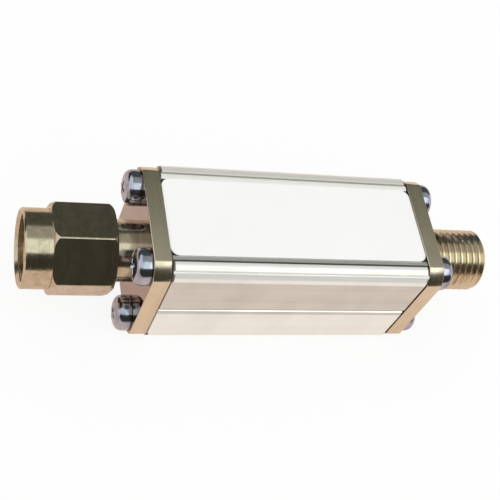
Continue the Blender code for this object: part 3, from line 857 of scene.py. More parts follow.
@dataclass
class Flange:
    """The square flange that both connectors have."""

    width: float = 0.0127
    thickness: float = 0.00165
    corner_radius: float = 0.00150
    hole_diameter: float = 0.0024
    screw_edge_distance: float = 0.00203
    corner_segments: int = 14
    corner_profile: float = 0.34
    rim_break: float = 0.00009
    rim_segments: int = 3

    @property
    def screw_offset(self) -> float:
        """Distance of the screws from the axis, both ways."""
        return self.width / 2 - self.screw_edge_distance

    def build(self) -> Piece:
        """Make the plate behind its connector's face, with its four holes.

        Returns:
            The plate, in object mode.
        """
        deselect()
        bpy.ops.mesh.primitive_cube_add(
            size=1, location=(0, 0, -self.thickness / 2), scale=(self.width, self.width, self.thickness)
        )
        plate = bpy.context.object
        bpy.ops.object.transform_apply(location=True, rotation=True, scale=True)
        open_edit(plate)
        select_edges(plate, lambda a, b: abs(a.z - b.z) > self.thickness / 2)
        bpy.ops.mesh.bevel(
            offset=self.corner_radius,
            segments=self.corner_segments,
            profile=self.corner_profile,
            affect="EDGES",
        )
        select_edges(plate, lambda a, b: abs(a.z - b.z) < WELD)
        bpy.ops.mesh.bevel(offset=self.rim_break, segments=self.rim_segments, affect="EDGES")
        close_edit()
        for side_x in (-1, 1):
            for side_y in (-1, 1):
                bpy.ops.mesh.primitive_cylinder_add(
                    vertices=SMALL_ROUND_STEPS,
                    radius=self.hole_diameter / 2,
                    depth=4 * self.thickness,
                    location=(side_x * self.screw_offset, side_y * self.screw_offset, 0),
                )
                combine(plate, bpy.context.object, Joining.CUT)
        return plate


@dataclass
class Thread:
    """A 60 degree thread, cut as a helical groove."""

    major_radius: float
    root_radius: float
    pitch: float = 0.0254 / 36
    root_rounding: float = 0.00006
    crest_break: float = 0.00003
    overshoot: float = 0.00004
    flank_angle: float = math.radians(30)
    root_degrees: tuple[float, ...] = (-60, -30, 0, 30, 60)

    def groove(self, start: float, turns: int, inward: bool) -> Piece:
        """Make the cutter of the groove.

        Args:
            start: height where it starts.
            turns: how many turns it has.
            inward: True for an outside thread, whose groove goes in towards the axis.

        Returns:
            The closed helical cutter.
        """
        way = -1 if inward else 1
        crest = self.major_radius if inward else self.root_radius
        root = self.root_radius if inward else self.major_radius
        deep = abs(crest - root)
        flank = math.tan(self.flank_angle)
        rounding = self.root_rounding
        bottom = [
            (rounding * math.sin(angle), deep - rounding * (1 - math.cos(angle)))
            for angle in (math.radians(degrees) for degrees in self.root_degrees)
        ]
        side_x, side_deep = bottom[-1]
        top_x = side_x + flank * (side_deep - self.crest_break)
        flare_x = top_x + 2 * self.crest_break
        right = [(top_x, self.crest_break), (flare_x, -self.overshoot)]
        left = [(-x, depth) for x, depth in reversed(right)]
        section = [*left, *bottom, *right]
        points = [Vector((crest + way * depth, 0, start + x)) for x, depth in section]
        points.append(points[0])
        cutter = draw_line(points)
        close_edit()
        bpy.ops.object.modifier_add(type="SCREW")
        step = cutter.modifiers[-1]
        step.axis = "Z"
        step.steps = THREAD_STEPS
        step.render_steps = THREAD_STEPS
        step.screw_offset = self.pitch
        step.iterations = turns
        step.use_merge_vertices = True
        step.merge_threshold = WELD
        bpy.ops.object.modifier_apply(modifier=step.name)
        open_edit(cutter)
        bpy.ops.mesh.select_all(action="DESELECT")
        bpy.ops.mesh.select_non_manifold(extend=False)
        bpy.ops.mesh.edge_face_add()
        bpy.ops.mesh.select_all(action="SELECT")
        bpy.ops.mesh.normals_make_consistent(inside=False)
        close_edit()
        return cutter


@dataclass
class ExtrudedHousing:
    """The box: two extruded half shells, whose outer seam lies a little below the connectors' axis.

    A shallow point has one shallow_part-th of its groove's depth. A face counts as part of a groove down
    to depth_margin times its depth. The rib edges are in degrees from the top to the side.
    """

    layout: Layout
    half_width: float = 0.0063
    corner_radius: float = 0.0014
    wall: float = 0.00125
    cavity_top: float = 0.005
    port_radius: float = 0.00175
    port_hole_radius: float = 0.00104
    port_steps: int = 24
    screw_offset: float = 0.00432
    rib_edges: tuple[float, ...] = (0, 24, 41, 58, 90)
    rib_steps: int = 8
    rib_drop: float = 0.00002
    end_gap: float = 0.000005
    seam: float = 0.00001
    seam_drop: float = 0.00032
    upper_fade: float = 0.0004
    upper_setback: float = 0.00012
    bead_slope: float = 0.00005
    bead_foot: float = 0.00009
    hollow: float = 0.00008
    hollow_middle: float = 0.00024
    hollow_end: float = 0.0006
    end_break: float = 0.00015
    end_segments: int = 2
    end_tilt: float = 0.3
    smooth: float = math.radians(14)
    lip: float = 0.00045
    lip_clearance: float = 0.00008
    lip_bottom: float = -0.000625
    ledge: float = 0.001525
    recess_depth: float = 0.0002
    recess_slope: float = 0.0006
    recess_bulge: float = 0.42
    crest_line: float = 0.0002
    crest_line_depth: float = 0.0002
    shallow_part: int = 6
    depth_margin: float = 1.2

    def build(self, finishes: Finishes) -> None:
        """Make both halves and dress them.

        Args:
            finishes: the part's materials.
        """
        upper = self._half(self._upper_seam(), self._upper_inside())
        settle(upper, "upper_shell", self.layout.section(), self.smooth)
        self._assign_faces(upper, ShellFace.SATIN)
        dress(upper, FILTER_BODY, finishes.shell, ["housing_upper"])
        lower = self._half(self._lower_seam(), self._lower_inside())
        settle(lower, "lower_shell", self.layout.section(turned_over=True), self.smooth)
        # The whole lower half takes the lighter copy, which paints it lighter than the upper half.
        self._assign_faces(lower, ShellFace.BRIGHT)
        dress(lower, FILTER_BODY, finishes.shell, ["housing_lower"])

    def _assign_faces(self, shell: Piece, plain: ShellFace) -> None:
        """Paint light and shade on the corners, the grooves and the seam's bead, with lighter, smoother or
        darker copies of the satin finish.

        Args:
            shell: the settled half.
            plain: the material of all the rest. For the lower half this is the lighter copy, which paints light
                on it.
        """
        middle = self.half_width - self.corner_radius
        crest = middle - self.crest_line
        in_crest_line = self.half_width - self.depth_margin * self.crest_line_depth
        in_recess = self.half_width - self.depth_margin * self.recess_depth
        bead_end = self.seam_drop + self.bead_slope + self.seam
        hollow_end = self.seam_drop + self.hollow_end
        for polygon in shell.data.polygons:
            across = abs(polygon.center.y)
            up = polygon.center.z - self.layout.axis_height
            face = plain
            if across > middle and abs(up) > middle:
                # Corners: the end breaks take painted shade, and the rest takes painted light.
                face = ShellFace.SHADED if abs(polygon.normal.x) > self.end_tilt else ShellFace.BRIGHT
            elif crest < across < middle and abs(up) > in_crest_line:
                # Crest line: painted shade on the near side, the satin finish on the far side.
                face = ShellFace.SHADED if polygon.center.y < 0 else ShellFace.SATIN
            elif across < crest and abs(up) > in_recess:
                # Recess slope: the satin finish on the near side, painted light on the far side.
                face = ShellFace.SATIN if polygon.center.y < 0 else ShellFace.BRIGHT
            elif plain is ShellFace.BRIGHT and across > self.half_width - self.upper_setback:
                # Lower half at the seam: the bead takes the painted highlight, and the hollow below it takes
                # the darker satin finish, which paints shade there.
                if -bead_end < up < 0:
                    face = ShellFace.BURNISHED
                elif -hollow_end < up < 0:
                    face = ShellFace.SATIN
            polygon.material_index = face.value

    def _upper_seam(self) -> list[Point]:
        """Draw the upper half's outer seam edge, going up.

        Returns:
            Points in the section's X and Y.
        """
        low = self.seam - self.seam_drop
        return [
            (self._cavity_half + self.lip, low),
            (self.half_width - self.upper_setback, low),
            (self.half_width, low + self.upper_fade),
        ]

    def _upper_inside(self) -> list[Point]:
        """Return the locating lip, going down."""
        return [(self._cavity_half, self.lip_bottom), (self._cavity_half + self.lip, self.lip_bottom)]

    def _lower_seam(self) -> list[Point]:
        """Draw the lower half's outer seam edge, upside down: a bead and a hollow that fade into the side.

        Returns:
            Points in the section's X and Y.
        """
        low, half = self.seam + self.seam_drop, self.half_width
        return [
            (half - self.upper_setback, low),
            (half - self.upper_setback / self.shallow_part, low + self.bead_slope),
            (half, low + self.bead_foot),
            (half - self.hollow, low + self.hollow_middle),
            (half, low + self.hollow_end),
        ]

    def _lower_inside(self) -> list[Point]:
        """Return the board's ledge and the lip's rebate, going down."""
        rebate = self._cavity_half + self.lip + self.lip_clearance
        return [(self._cavity_half, self.ledge), (rebate, self.ledge), (rebate, self.seam + self.seam_drop)]

    @property
    def _cavity_half(self) -> float:
        """Half the width of the cavity."""
        return self.half_width - self.wall

    def _corner(self) -> list[Point]:
        """Draw a quarter arc made of rounded ribs with fine lines between them.

        Returns:
            Points in the section's X and Y.
        """
        middle = self.half_width - self.corner_radius
        points = []
        for top, bottom in zip(self.rib_edges[:0:-1], self.rib_edges[-2::-1]):
            for step in range(self.rib_steps):
                angle = 90 - top + (top - bottom) * step / self.rib_steps
                drop = self.rib_drop * (2 * step / self.rib_steps - 1) ** 2
                points.append(on_arc((middle, middle), self.corner_radius - drop, angle))
        return [*points, (middle, self.half_width - self.rib_drop)]

    def _half(self, seam_outside: list[Point], seam_inside: list[Point]) -> Piece:
        """Make one half from its seam up, in its own section.

        Args:
            seam_outside: the seam's points on the right, going up.
            seam_inside: the inner points on the right, going down.

        Returns:
            The bored half.
        """
        half = self.half_width
        floor = half - self.recess_depth
        crest = half - self.corner_radius - self.crest_line
        low = crest - self.recess_slope
        right = [
            *seam_outside,
            *self._corner(),
            (crest + self.crest_line / 2, half - self.crest_line_depth),
            (crest, half - self.crest_line_depth / self.shallow_part),
            ((crest + low) / 2, half - self.recess_depth * self.recess_bulge),
            (low, floor),
        ]
        rise = math.degrees(math.acos((self._cavity_half - self.screw_offset) / self.port_radius))
        reach = math.degrees(math.asin((self.cavity_top - self.screw_offset) / self.port_radius))
        centre = (self.screw_offset, self.screw_offset)
        right_inside = arc(centre, self.port_radius, -180 - reach, -rise, self.port_steps) + seam_inside
        left = [(-x, y) for x, y in reversed(right)]
        left_inside = [(-x, y) for x, y in reversed(right_inside)]
        outline = [*right, *left, *left_inside, *right_inside]
        start, end = self.layout.housing_start + self.end_gap, self.layout.housing_end - self.end_gap
        shell = extrude_outline(outline, start, end)
        for side in (-1, 1):
            bpy.ops.mesh.primitive_cylinder_add(
                vertices=SMALL_ROUND_STEPS,
                radius=self.port_hole_radius,
                depth=2 * (end - start),
                location=(side * self.screw_offset, self.screw_offset, (start + end) / 2),
            )
            combine(shell, bpy.context.object, Joining.CUT)
        self._break_ends(shell, start, end)
        return shell

    def _break_ends(self, shell: Piece, start: float, end: float) -> None:
        """Break the outer edges of the corners and the side that the saw left at both ends.

        Args:
            shell: the half in its own section.
            start: where it starts along its length.
            end: where it ends.
        """
        outside = self.half_width - self.recess_depth - self.end_break
        beside_recess = self.half_width - self.corner_radius - WELD

        def on_rim(a: Vector, b: Vector) -> bool:
            """Tell whether an edge lies on an end's outer rim, beside the recess.

            Args:
                a: one end of the edge.
                b: its other end.

            Returns:
                True for an edge to break.
            """
            at_end = any(abs(a.z - place) < WELD and abs(b.z - place) < WELD for place in (start, end))
            at_side = min(abs(a.x), abs(b.x)) > beside_recess
            return at_end and at_side and min(max(abs(point.x), abs(point.y)) for point in (a, b)) > outside

        open_edit(shell)
        select_edges(shell, on_rim)
        bpy.ops.mesh.bevel(offset=self.end_break, segments=self.end_segments, affect="EDGES")
        close_edit()


@dataclass
class BlankLabel:
    """The white label that fills the upper shell's recess from flange to flange, on a black sheet that paints
    the shade at its rounded corners.
    """

    corner_radius: float = 0.00085
    shade_sheet_radius: float = 0.0001
    corner_segments: int = 10
    shade_sheet_thickness: float = 0.00003
    film_overlap: float = 0.00001
    end_reach: float = 0.0002
    side_inset: float = 0.00009
    edge_break: float = 0.00003

    def build(self, finishes: Finishes) -> None:
        """Make the film and the black sheet under it, which paints shade where the film's corners leave the
        recess open, and dress them.

        Args:
            finishes: the part's materials.
        """
        low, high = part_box("label")
        middle = (low + high) / 2
        length, width = high.x - low.x + 2 * self.end_reach, high.y - low.y - 2 * self.side_inset
        film_low = self.shade_sheet_thickness - self.film_overlap
        film = self._sheet(length, width, self.corner_radius, film_low, high.z - low.z)
        break_edges(film, self.edge_break)
        settle(film, "label_sheet", Matrix.Translation((middle.x, middle.y, low.z)))
        dress(film, FILTER_BODY, [finishes.label], ["label"])
        # The black sheet under the film paints the shade at the label's corners.
        shade_sheet = self._sheet(length, width, self.shade_sheet_radius, 0, self.shade_sheet_thickness)
        settle(shade_sheet, "label_shade_sheet", Matrix.Translation((middle.x, middle.y, low.z)))
        dress(shade_sheet, FILTER_BODY, [finishes.adhesive])

    def _sheet(self, length: float, width: float, corner_radius: float, low: float, high: float) -> Piece:
        """Make a sheet with rounded corners.

        Args:
            length: its size along the part.
            width: its size across the part.
            corner_radius: radius of its corners.
            low: height of its lower face.
            high: height of its upper face.

        Returns:
            The solid, in object mode.
        """
        deselect()
        bpy.ops.mesh.primitive_plane_add(size=1, location=(0, 0, low))
        sheet = bpy.context.object
        sheet.scale = (length, width, 1)
        bpy.ops.object.transform_apply(location=True, rotation=True, scale=True)
        open_edit(sheet)
        bpy.ops.mesh.bevel(offset=corner_radius, segments=self.corner_segments, affect="VERTICES")
        bpy.ops.mesh.select_all(action="SELECT")
        bpy.ops.mesh.extrude_region_move(TRANSFORM_OT_translate={"value": (0, 0, high - low)})
        bpy.ops.mesh.select_all(action="SELECT")
        bpy.ops.mesh.normals_make_consistent(inside=False)
        close_edit()
        return sheet


def assign_flange(piece: Piece, inner: float, outer: float, rest: ConnectorFace) -> None:
    """Give a connector's flange a darker copy of its nickel on its flat faces and a lighter copy on its edges,
    which paint shade and light, and the rest another one.

    Args:
        piece: the settled piece.
        inner: place of the flange's inner face along the part.
        outer: place of its outer face.
        rest: the finish of all that isn't the flange.
    """
    low, high = min(inner, outer) - WELD, max(inner, outer) + WELD
    for polygon in piece.data.polygons:
        on_flange = low < polygon.center.x < high
        flat = abs(polygon.normal.x) > FLAT_NORMAL
        # Flat faces take painted shade, edges painted light.
        on_plate = ConnectorFace.FACED if flat else ConnectorFace.EDGED
        polygon.material_index = (on_plate if on_flange else rest).value


@dataclass
class PlugConnector:
    """The plug: flange, shank with its ring groove, sleeve, insulator, pin and gasket."""

    layout: Layout
    flange: Flange
    shank_radius: float = 0.003
    shank_length: float = 0.00555
    sleeve_radius: float = 0.002295
    sleeve_length: float = 0.0022
    bore_radius: float = 0.00207
    bore_length: float = 0.04
    groove_start: float = 0.0037
    groove_width: float = 0.0006
    groove_radius: float = 0.00255
    edge: float = 0.0001
    edge_break: float = 0.00005
    pin_radius: float = 0.00046
    pin_length: float = 0.0019
    pin_break: float = 0.000025
    point_steps: int = 6
    line_radius: float = 0.000635
    clearance: float = 0.00002
    gasket_outer: float = 0.003105
    gasket_inner: float = 0.002345
    gasket_low: float = 0.0056
    gasket_thickness: float = 0.0004
    gasket_break: float = 0.000075
    gasket_segments: int = 3
    tail: float = 0.003

    def build(self, finishes: Finishes) -> None:
        """Make every piece of the plug but its nut.

        Args:
            finishes: the part's materials.
        """
        place = self.layout.plug()
        body = self._body()
        settle(body, "plug_body", place)
        face = self.layout.plug_face
        assign_flange(body, face + self.flange.thickness, face, ConnectorFace.TURNED)
        dress(body, FILTER_BODY, finishes.connector, ["male_connector_body"])
        bead = turn(self._bead(), SMALL_ROUND_STEPS, closed=True)
        settle(bead, "plug_bead", place)
        dress(bead, FILTER_BODY, [finishes.milky], ["male_insulator"])
        pin = turn(self._pin(), SMALL_ROUND_STEPS)
        break_edges(pin, self.pin_break)
        settle(pin, "plug_pin", place)
        dress(pin, FILTER_BODY, [finishes.gold], ["male_pin"])
        seal = turn(self._gasket(), ROUND_STEPS, closed=True)
        break_edges(seal, self.gasket_break, self.gasket_segments)
        settle(seal, "plug_gasket", place)
        dress(seal, FILTER_BODY, [finishes.rubber], ["gasket"])

    @property
    def reference(self) -> float:
        """Height of the sleeve's end, where it meets a mating jack."""
        return self.shank_length + self.sleeve_length

    def _body(self) -> Piece:
        """Make the flange, shank and sleeve as one bored piece.

        Returns:
            The solid, in object mode.
        """
        body = self.flange.build()
        shank, sleeve, edge = self.shank_radius, self.sleeve_radius, self.edge
        groove_end = self.groove_start + self.groove_width
        boss = turn(
            [
                (0, self.reference),
                (sleeve - edge, self.reference),
                (sleeve, self.reference - edge),
                (sleeve, self.shank_length),
                (shank - edge, self.shank_length),
                (shank, self.shank_length - edge),
                (shank, groove_end),
                (self.groove_radius, groove_end),
                (self.groove_radius, self.groove_start),
                (shank, self.groove_start),
                (shank, -self.flange.thickness / 2),
                (0, -self.flange.thickness / 2),
            ]
        )
        combine(body, boss, Joining.ADD)
        deselect()
        bpy.ops.mesh.primitive_cylinder_add(
            vertices=ROUND_STEPS, radius=self.bore_radius, depth=self.bore_length
        )
        combine(body, bpy.context.object, Joining.CUT)
        break_edges(body, self.edge_break)
        return body

    def _bead(self) -> list[Point]:
        """Draw the insulator's section.

        Returns:
            Its points of radius and height.
        """
        outside = self.bore_radius - self.clearance
        inside = self.line_radius + self.clearance
        back = -self.flange.thickness
        return [(outside, self.reference), (outside, back), (inside, back), (inside, self.reference)]

    def _pin(self) -> list[Point]:
        """Draw the pin's profile from its rounded point to its tail over the board.

        Returns:
            Its points of radius and height.
        """
        tip = self.reference + self.pin_length
        pin, line = self.pin_radius, self.line_radius
        angles = [math.radians(90 * step / self.point_steps) for step in range(self.point_steps + 1)]
        point = [(pin * math.sin(angle), tip - pin * (1 - math.cos(angle))) for angle in angles]
        shoulder = self.reference - self.edge / 2
        end = -self.flange.thickness - self.tail
        tail = [(line, end + self.edge), (line - self.edge, end), (0, end)]
        return [*point, (pin, shoulder), (line, shoulder), *tail]

    def _gasket(self) -> list[Point]:
        """Draw the seal's section.

        Returns:
            Its points of radius and height.
        """
        high = self.gasket_low + self.gasket_thickness
        return [
            (self.gasket_outer, high),
            (self.gasket_outer, self.gasket_low),
            (self.gasket_inner, self.gasket_low),
            (self.gasket_inner, high),
        ]


@dataclass
class CouplingNut:
    """The captive nut: a chamfered hexagon with a collar, threaded inside.

    Heights start at the nut's inner end. At rest it is turned by rest_turn, in degrees.
    """

    layout: Layout
    start: float = 0.0023
    across_flats: float = 0.00794
    hex_length: float = 0.0059
    collar_length: float = 0.00255
    collar_radius: float = 0.00378
    collar_chamfer: float = 0.00015
    edge_radius: float = 0.00022
    edge_radius_segments: int = 5
    chamfer_drop: float = 0.00056
    chamfer_inset: float = 0.00005
    chamfer_power: float = 3.0
    chamfer_steps: int = 14
    bore_radius: float = 0.003205
    minor_radius: float = 0.00283
    lip_bore: float = 0.00305
    lip_end: float = 0.0028
    ring_bore: float = 0.0035
    ring_low: float = 0.00135
    ring_high: float = 0.00205
    thread_start: float = 0.0041
    mouth_chamfer: float = 0.0003
    mouth_depth: float = 0.0008
    mouth_radius: float = 0.00323
    mouth_taper: float = 0.6
    edge_break: float = 0.00006
    edge_segments: int = 3
    edge_angle: float = math.radians(20)
    rest_turn: float = 41.3

    @property
    def length(self) -> float:
        """Length of the whole nut."""
        return self.hex_length + self.collar_length

    def build(self, finishes: Finishes) -> None:
        """Make the nut and dress it.

        Args:
            finishes: the part's materials.
        """
        nut = self._outside()
        combine(nut, turn(self._bore()), Joining.CUT)
        thread = Thread(self.bore_radius, self.minor_radius)
        turns = math.ceil((self.length - self.thread_start) / thread.pitch) + 1
        combine(nut, thread.groove(self.thread_start, turns, inward=False), Joining.CUT)
        seat = Matrix.Translation((-self.start, 0, 0))
        settle(nut, "hexagon_nut", seat @ self.layout.plug(self.rest_turn))
        dress(nut, NUT_BODY, [finishes.nickel_turned], ["coupling_nut"])

    def _outside(self) -> Piece:
        """Make the hexagon with rounded corners, cut to the turned form's cones and collar.

        Returns:
            The solid, in object mode.
        """
        flat = self.across_flats / 2
        corner = flat / math.cos(math.pi / 6)
        inner = flat - self.chamfer_inset
        shares = [step / self.chamfer_steps for step in range(self.chamfer_steps + 1)]
        drop, power = self.chamfer_drop, self.chamfer_power
        crown = [(inner + (corner - inner) * share, drop * share**power) for share in shares]
        collar = self.collar_radius
        turned = turn(
            [
                (0, self.length),
                (collar - self.collar_chamfer, self.length),
                (collar, self.length - self.collar_chamfer),
                (collar, self.hex_length),
                *((radius, self.hex_length - drop) for radius, drop in crown),
                *reversed(crown),
                (0, 0),
            ]
        )
        corners = [on_arc((0, 0), corner, 60 * side) for side in range(6)]
        hexagon = extrude_outline(corners, -self.length, 2 * self.length)
        open_edit(hexagon)
        select_edges(hexagon, lambda a, b: abs(a.z - b.z) > self.length)
        offset = self.edge_radius * math.tan(math.pi / 6)
        bpy.ops.mesh.bevel(offset=offset, segments=self.edge_radius_segments, affect="EDGES")
        close_edit()
        combine(turned, hexagon, Joining.KEEP_COMMON)
        break_edges(turned, self.edge_break, self.edge_segments, self.edge_angle)
        return turned

    def _bore(self) -> list[Point]:
        """Draw the profile of everything that is bored out of the nut.

        Returns:
            Its points of radius and height.
        """
        far = self.length + self.collar_length
        mouth, chamfer = self.mouth_radius, self.mouth_chamfer
        inside = self.length - self.mouth_depth
        minor = self.minor_radius
        return [
            (0, far),
            (mouth + chamfer, far),
            (mouth + chamfer, self.length),
            (mouth, self.length - chamfer),
            (mouth, inside),
            (minor, inside - (mouth - minor) * self.mouth_taper),
            (minor, self.thread_start),
            (self.bore_radius, self.thread_start),
            (self.bore_radius, self.lip_end),
            (self.lip_bore, self.lip_end),
            (self.lip_bore, self.ring_high),
            (self.ring_bore, self.ring_high),
            (self.ring_bore, self.ring_low),
            (self.lip_bore, self.ring_low),
            (self.lip_bore, -self.collar_length),
            (0, -self.collar_length),
        ]


@dataclass
class JackConnector:
    """The jack: flange, threaded barrel, insulator and slotted socket."""

    layout: Layout
    flange: Flange
    thread_radius: float = 0.003175
    root_radius: float = 0.00274
    barrel_length: float = 0.0079
    relief_length: float = 0.0009
    relief_radius: float = 0.002775
    barrel_chamfer: float = 0.00035
    thread_lead: float = 0.4
    mouth_radius: float = 0.002325
    mouth_depth: float = 0.00195
    bore_radius: float = 0.00207
    edge: float = 0.0001
    edge_break: float = 0.00005
    line_radius: float = 0.000635
    clearance: float = 0.00002
    contact_recess: float = 0.00005
    contact_bore: float = 0.00047
    contact_depth: float = 0.003
    contact_break: float = 0.00005 / 3
    slot_width: float = 0.00018
    slot_length: float = 0.0023
    tail: float = 0.003

    def build(self, finishes: Finishes) -> None:
        """Make every piece of the jack.

        Args:
            finishes: the part's materials.
        """
        place = self.layout.jack()
        body = self._body()
        settle(body, "jack_body", place)
        face = self.layout.jack_face
        # The barrel takes the lighter copy of the nickel, which paints a brighter highlight on its thread.
        assign_flange(body, face - self.flange.thickness, face, ConnectorFace.THREADED)
        dress(body, FILTER_BODY, finishes.connector, ["female_connector_body"])
        front = self.barrel_length - self.mouth_depth
        outside, inside = self.bore_radius - self.clearance, self.line_radius + self.clearance
        back = -self.flange.thickness
        section = [(outside, front), (outside, back), (inside, back), (inside, front)]
        bead = turn(section, SMALL_ROUND_STEPS, closed=True)
        settle(bead, "jack_bead", place)
        dress(bead, FILTER_BODY, [finishes.milky], ["female_insulator"])
        socket = self._socket(front - self.contact_recess)
        settle(socket, "jack_socket", place)
        dress(socket, FILTER_BODY, [finishes.gold], ["female_contact"])

    def _body(self) -> Piece:
        """Make the flange and the threaded barrel as one bored piece.

        Returns:
            The solid, in object mode.
        """
        barrel, relief = self.thread_radius, self.relief_radius
        boss = turn(
            [
                (0, self.barrel_length),
                (barrel - self.barrel_chamfer, self.barrel_length),
                (barrel, self.barrel_length - self.barrel_chamfer),
                (barrel, self.relief_length),
                (relief, self.relief_length - (barrel - relief)),
                (relief, -self.flange.thickness / 2),
                (0, -self.flange.thickness / 2),
            ]
        )
        thread = Thread(self.thread_radius, self.root_radius)
        turns = math.ceil((self.barrel_length - self.relief_length) / thread.pitch) + 1
        start = self.relief_length - thread.pitch * self.thread_lead
        combine(boss, thread.groove(start, turns, inward=True), Joining.CUT)
        body = self.flange.build()
        break_edges(body, self.edge_break)
        combine(body, boss, Joining.ADD)
        mouth = self.mouth_radius
        top = 2 * self.barrel_length
        front = self.barrel_length - self.mouth_depth
        bore = turn(
            [
                (0, top),
                (mouth + self.edge, top),
                (mouth + self.edge, self.barrel_length),
                (mouth, self.barrel_length - self.edge),
                (mouth, front),
                (self.bore_radius, front),
                (self.bore_radius, -top),
                (0, -top),
            ]
        )
        combine(body, bore, Joining.CUT)
        return body

    def _socket(self, top: float) -> Piece:
        """Make the slotted socket.

        Args:
            top: height of its front end.

        Returns:
            The solid, in object mode.
        """
        bore, line = self.contact_bore, self.line_radius
        end = -self.flange.thickness - self.tail
        socket = turn(
            [
                (0, top - self.contact_depth),
                (bore, top - self.contact_depth),
                (bore, top - self.edge),
                (bore + self.edge / 2, top),
                (line, top),
                (line, end + self.edge),
                (line - self.edge, end),
                (0, end),
            ],
            SMALL_ROUND_STEPS,
        )
        for scale in ((4 * line, self.slot_width), (self.slot_width, 4 * line)):
            deselect()
            bpy.ops.mesh.primitive_cube_add(
                size=1, location=(0, 0, top), scale=(*scale, 2 * self.slot_length)
            )
            combine(socket, bpy.context.object, Joining.CUT)
        break_edges(socket, self.contact_break)
        return socket


@dataclass
class FlangeScrews:
    """The eight pan-head screws with cross recesses, each turned by its own angle in degrees."""

    layout: Layout
    flange: Flange
    head_radius: float = 0.00175
    head_height: float = 0.0015
    head_rim: float = 0.00035
    head_squareness: float = 3.2
    dome_steps: int = 18
    seat_gap: float = 0.00003
    shank_radius: float = 0.001
    length: float = 0.006
    tip: float = 0.00025
    cross_span: float = 0.0021
    cross_wing: float = 0.00042
    cross_depth: float = 0.0008
    cross_taper: float = 0.45
    wing_taper: float = 0.96
    edge_break: float = 0.00004
    edge_angle: float = math.radians(40)
    plug_turns: tuple[float, ...] = (20, 65, 10, 40)
    jack_turns: tuple[float, ...] = (35, 5, 70, 50)

    def build(self, finishes: Finishes) -> None:
        """Model one screw and set a copy in each hole.

        Args:
            finishes: the part's materials.
        """
        model = self._screw()
        corners = ((1, 1), (1, -1), (-1, -1), (-1, 1))
        sides = (
            ("plug", "male", self.layout.plug(), self.plug_turns),
            ("jack", "female", self.layout.jack(), self.jack_turns),
        )
        for side, prefix, place, turns in sides:
            for number, ((side_x, side_y), angle) in enumerate(zip(corners, turns), start=1):
                screw = copy_of(model)
                offset = self.flange.screw_offset
                seat = Matrix.Translation((side_x * offset, side_y * offset, self.seat_gap))
                turned = Matrix.Rotation(math.radians(angle), 4, "Z")
                settle(screw, f"{side}_screw_{number}", place @ seat @ turned)
                dress(screw, FILTER_BODY, [finishes.steel], [f"{prefix}_screw_{number}"])
        bpy.data.objects.remove(model, do_unlink=True)

    def _screw(self) -> Piece:
        """Make one screw with its seat at height 0.

        Returns:
            The solid, in object mode.
        """
        head, rim, thread = self.head_radius, self.head_rim, self.shank_radius
        rise = self.head_height - rim
        power = 2 / self.head_squareness
        dome = [
            (head * math.sin(angle) ** power, rim + rise * abs(math.cos(angle)) ** power)
            for angle in (math.radians(90 * step / self.dome_steps) for step in range(self.dome_steps + 1))
        ]
        screw = turn(
            [
                *dome,
                (head, 0),
                (thread, 0),
                (thread, -self.length + self.tip),
                (thread - self.tip, -self.length),
                (0, -self.length),
            ],
            SMALL_ROUND_STEPS,
        )
        combine(screw, self._cross(), Joining.CUT)
        break_edges(screw, self.edge_break, angle=self.edge_angle)
        return screw

    def _cross(self) -> Piece:
        """Make the tapered cross that is cut into the head.

        Returns:
            The solid, in object mode.
        """
        far, near = self.cross_span / 2, self.cross_wing / 2
        quarter = [(far, near * self.wing_taper), (near, near), (near * self.wing_taper, far)]
        outline = []
        for _ in range(4):
            outline += quarter
            quarter = [(-y, x) for x, y in quarter]
        height, depth = self.head_height, self.cross_depth
        cross = extrude_outline(outline, height - depth, height + depth)
        for vertex in cross.data.vertices:
            if vertex.co.z < height:
                vertex.co.x *= self.cross_taper
                vertex.co.y *= self.cross_taper
        return cross


@dataclass
class HiddenPieces:
    """CAD nodes inside the part that keep their shape and take a finish."""

    nodes: dict[str, str] = field(
        default_factory=lambda: {
            "retaining_ring": "spring_steel",
            "circuit_board": "laminate",
            "filter_package": "package",
            "input_capacitor": "chip",
            "output_capacitor": "chip",
            "input_inductor": "coil",
            "output_inductor": "coil",
        }
    )

    def build(self, finishes: Finishes) -> None:
        """Give each node its finish.

        Args:
            finishes: the part's materials.
        """
        for node, finish in self.nodes.items():
            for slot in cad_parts[node].material_slots:
                slot.material = getattr(finishes, finish)


@dataclass(frozen=True)
class Card:
    """A flat card that only mirrors see."""

    name: str
    middle: tuple[float, float, float]
    size: tuple[float, float]
    upright: bool
    color: Color

    def build(self) -> None:
        """Hang or stand the card."""
        deselect()
        tilt = math.pi / 2 if self.upright else 0.0
        bpy.ops.mesh.primitive_plane_add(size=1, location=self.middle, rotation=(tilt, 0, 0))
        card = bpy.context.object
        card.scale = (*self.size, 1)
        card.name = self.name
        material = bpy.data.materials.new(self.name)
        material.use_nodes = True
        sheet = Sheet(material.node_tree)
        glow = sheet.add("ShaderNodeEmission", Color=opaque(self.color), Strength=1.0)
        sheet.feed(material.node_tree.nodes["Material Output"].inputs["Surface"], glow.outputs[0])
        card.data.materials.append(material)
        card.visible_camera = False
        card.visible_diffuse = False
        card.visible_shadow = False
        card.visible_transmission = False


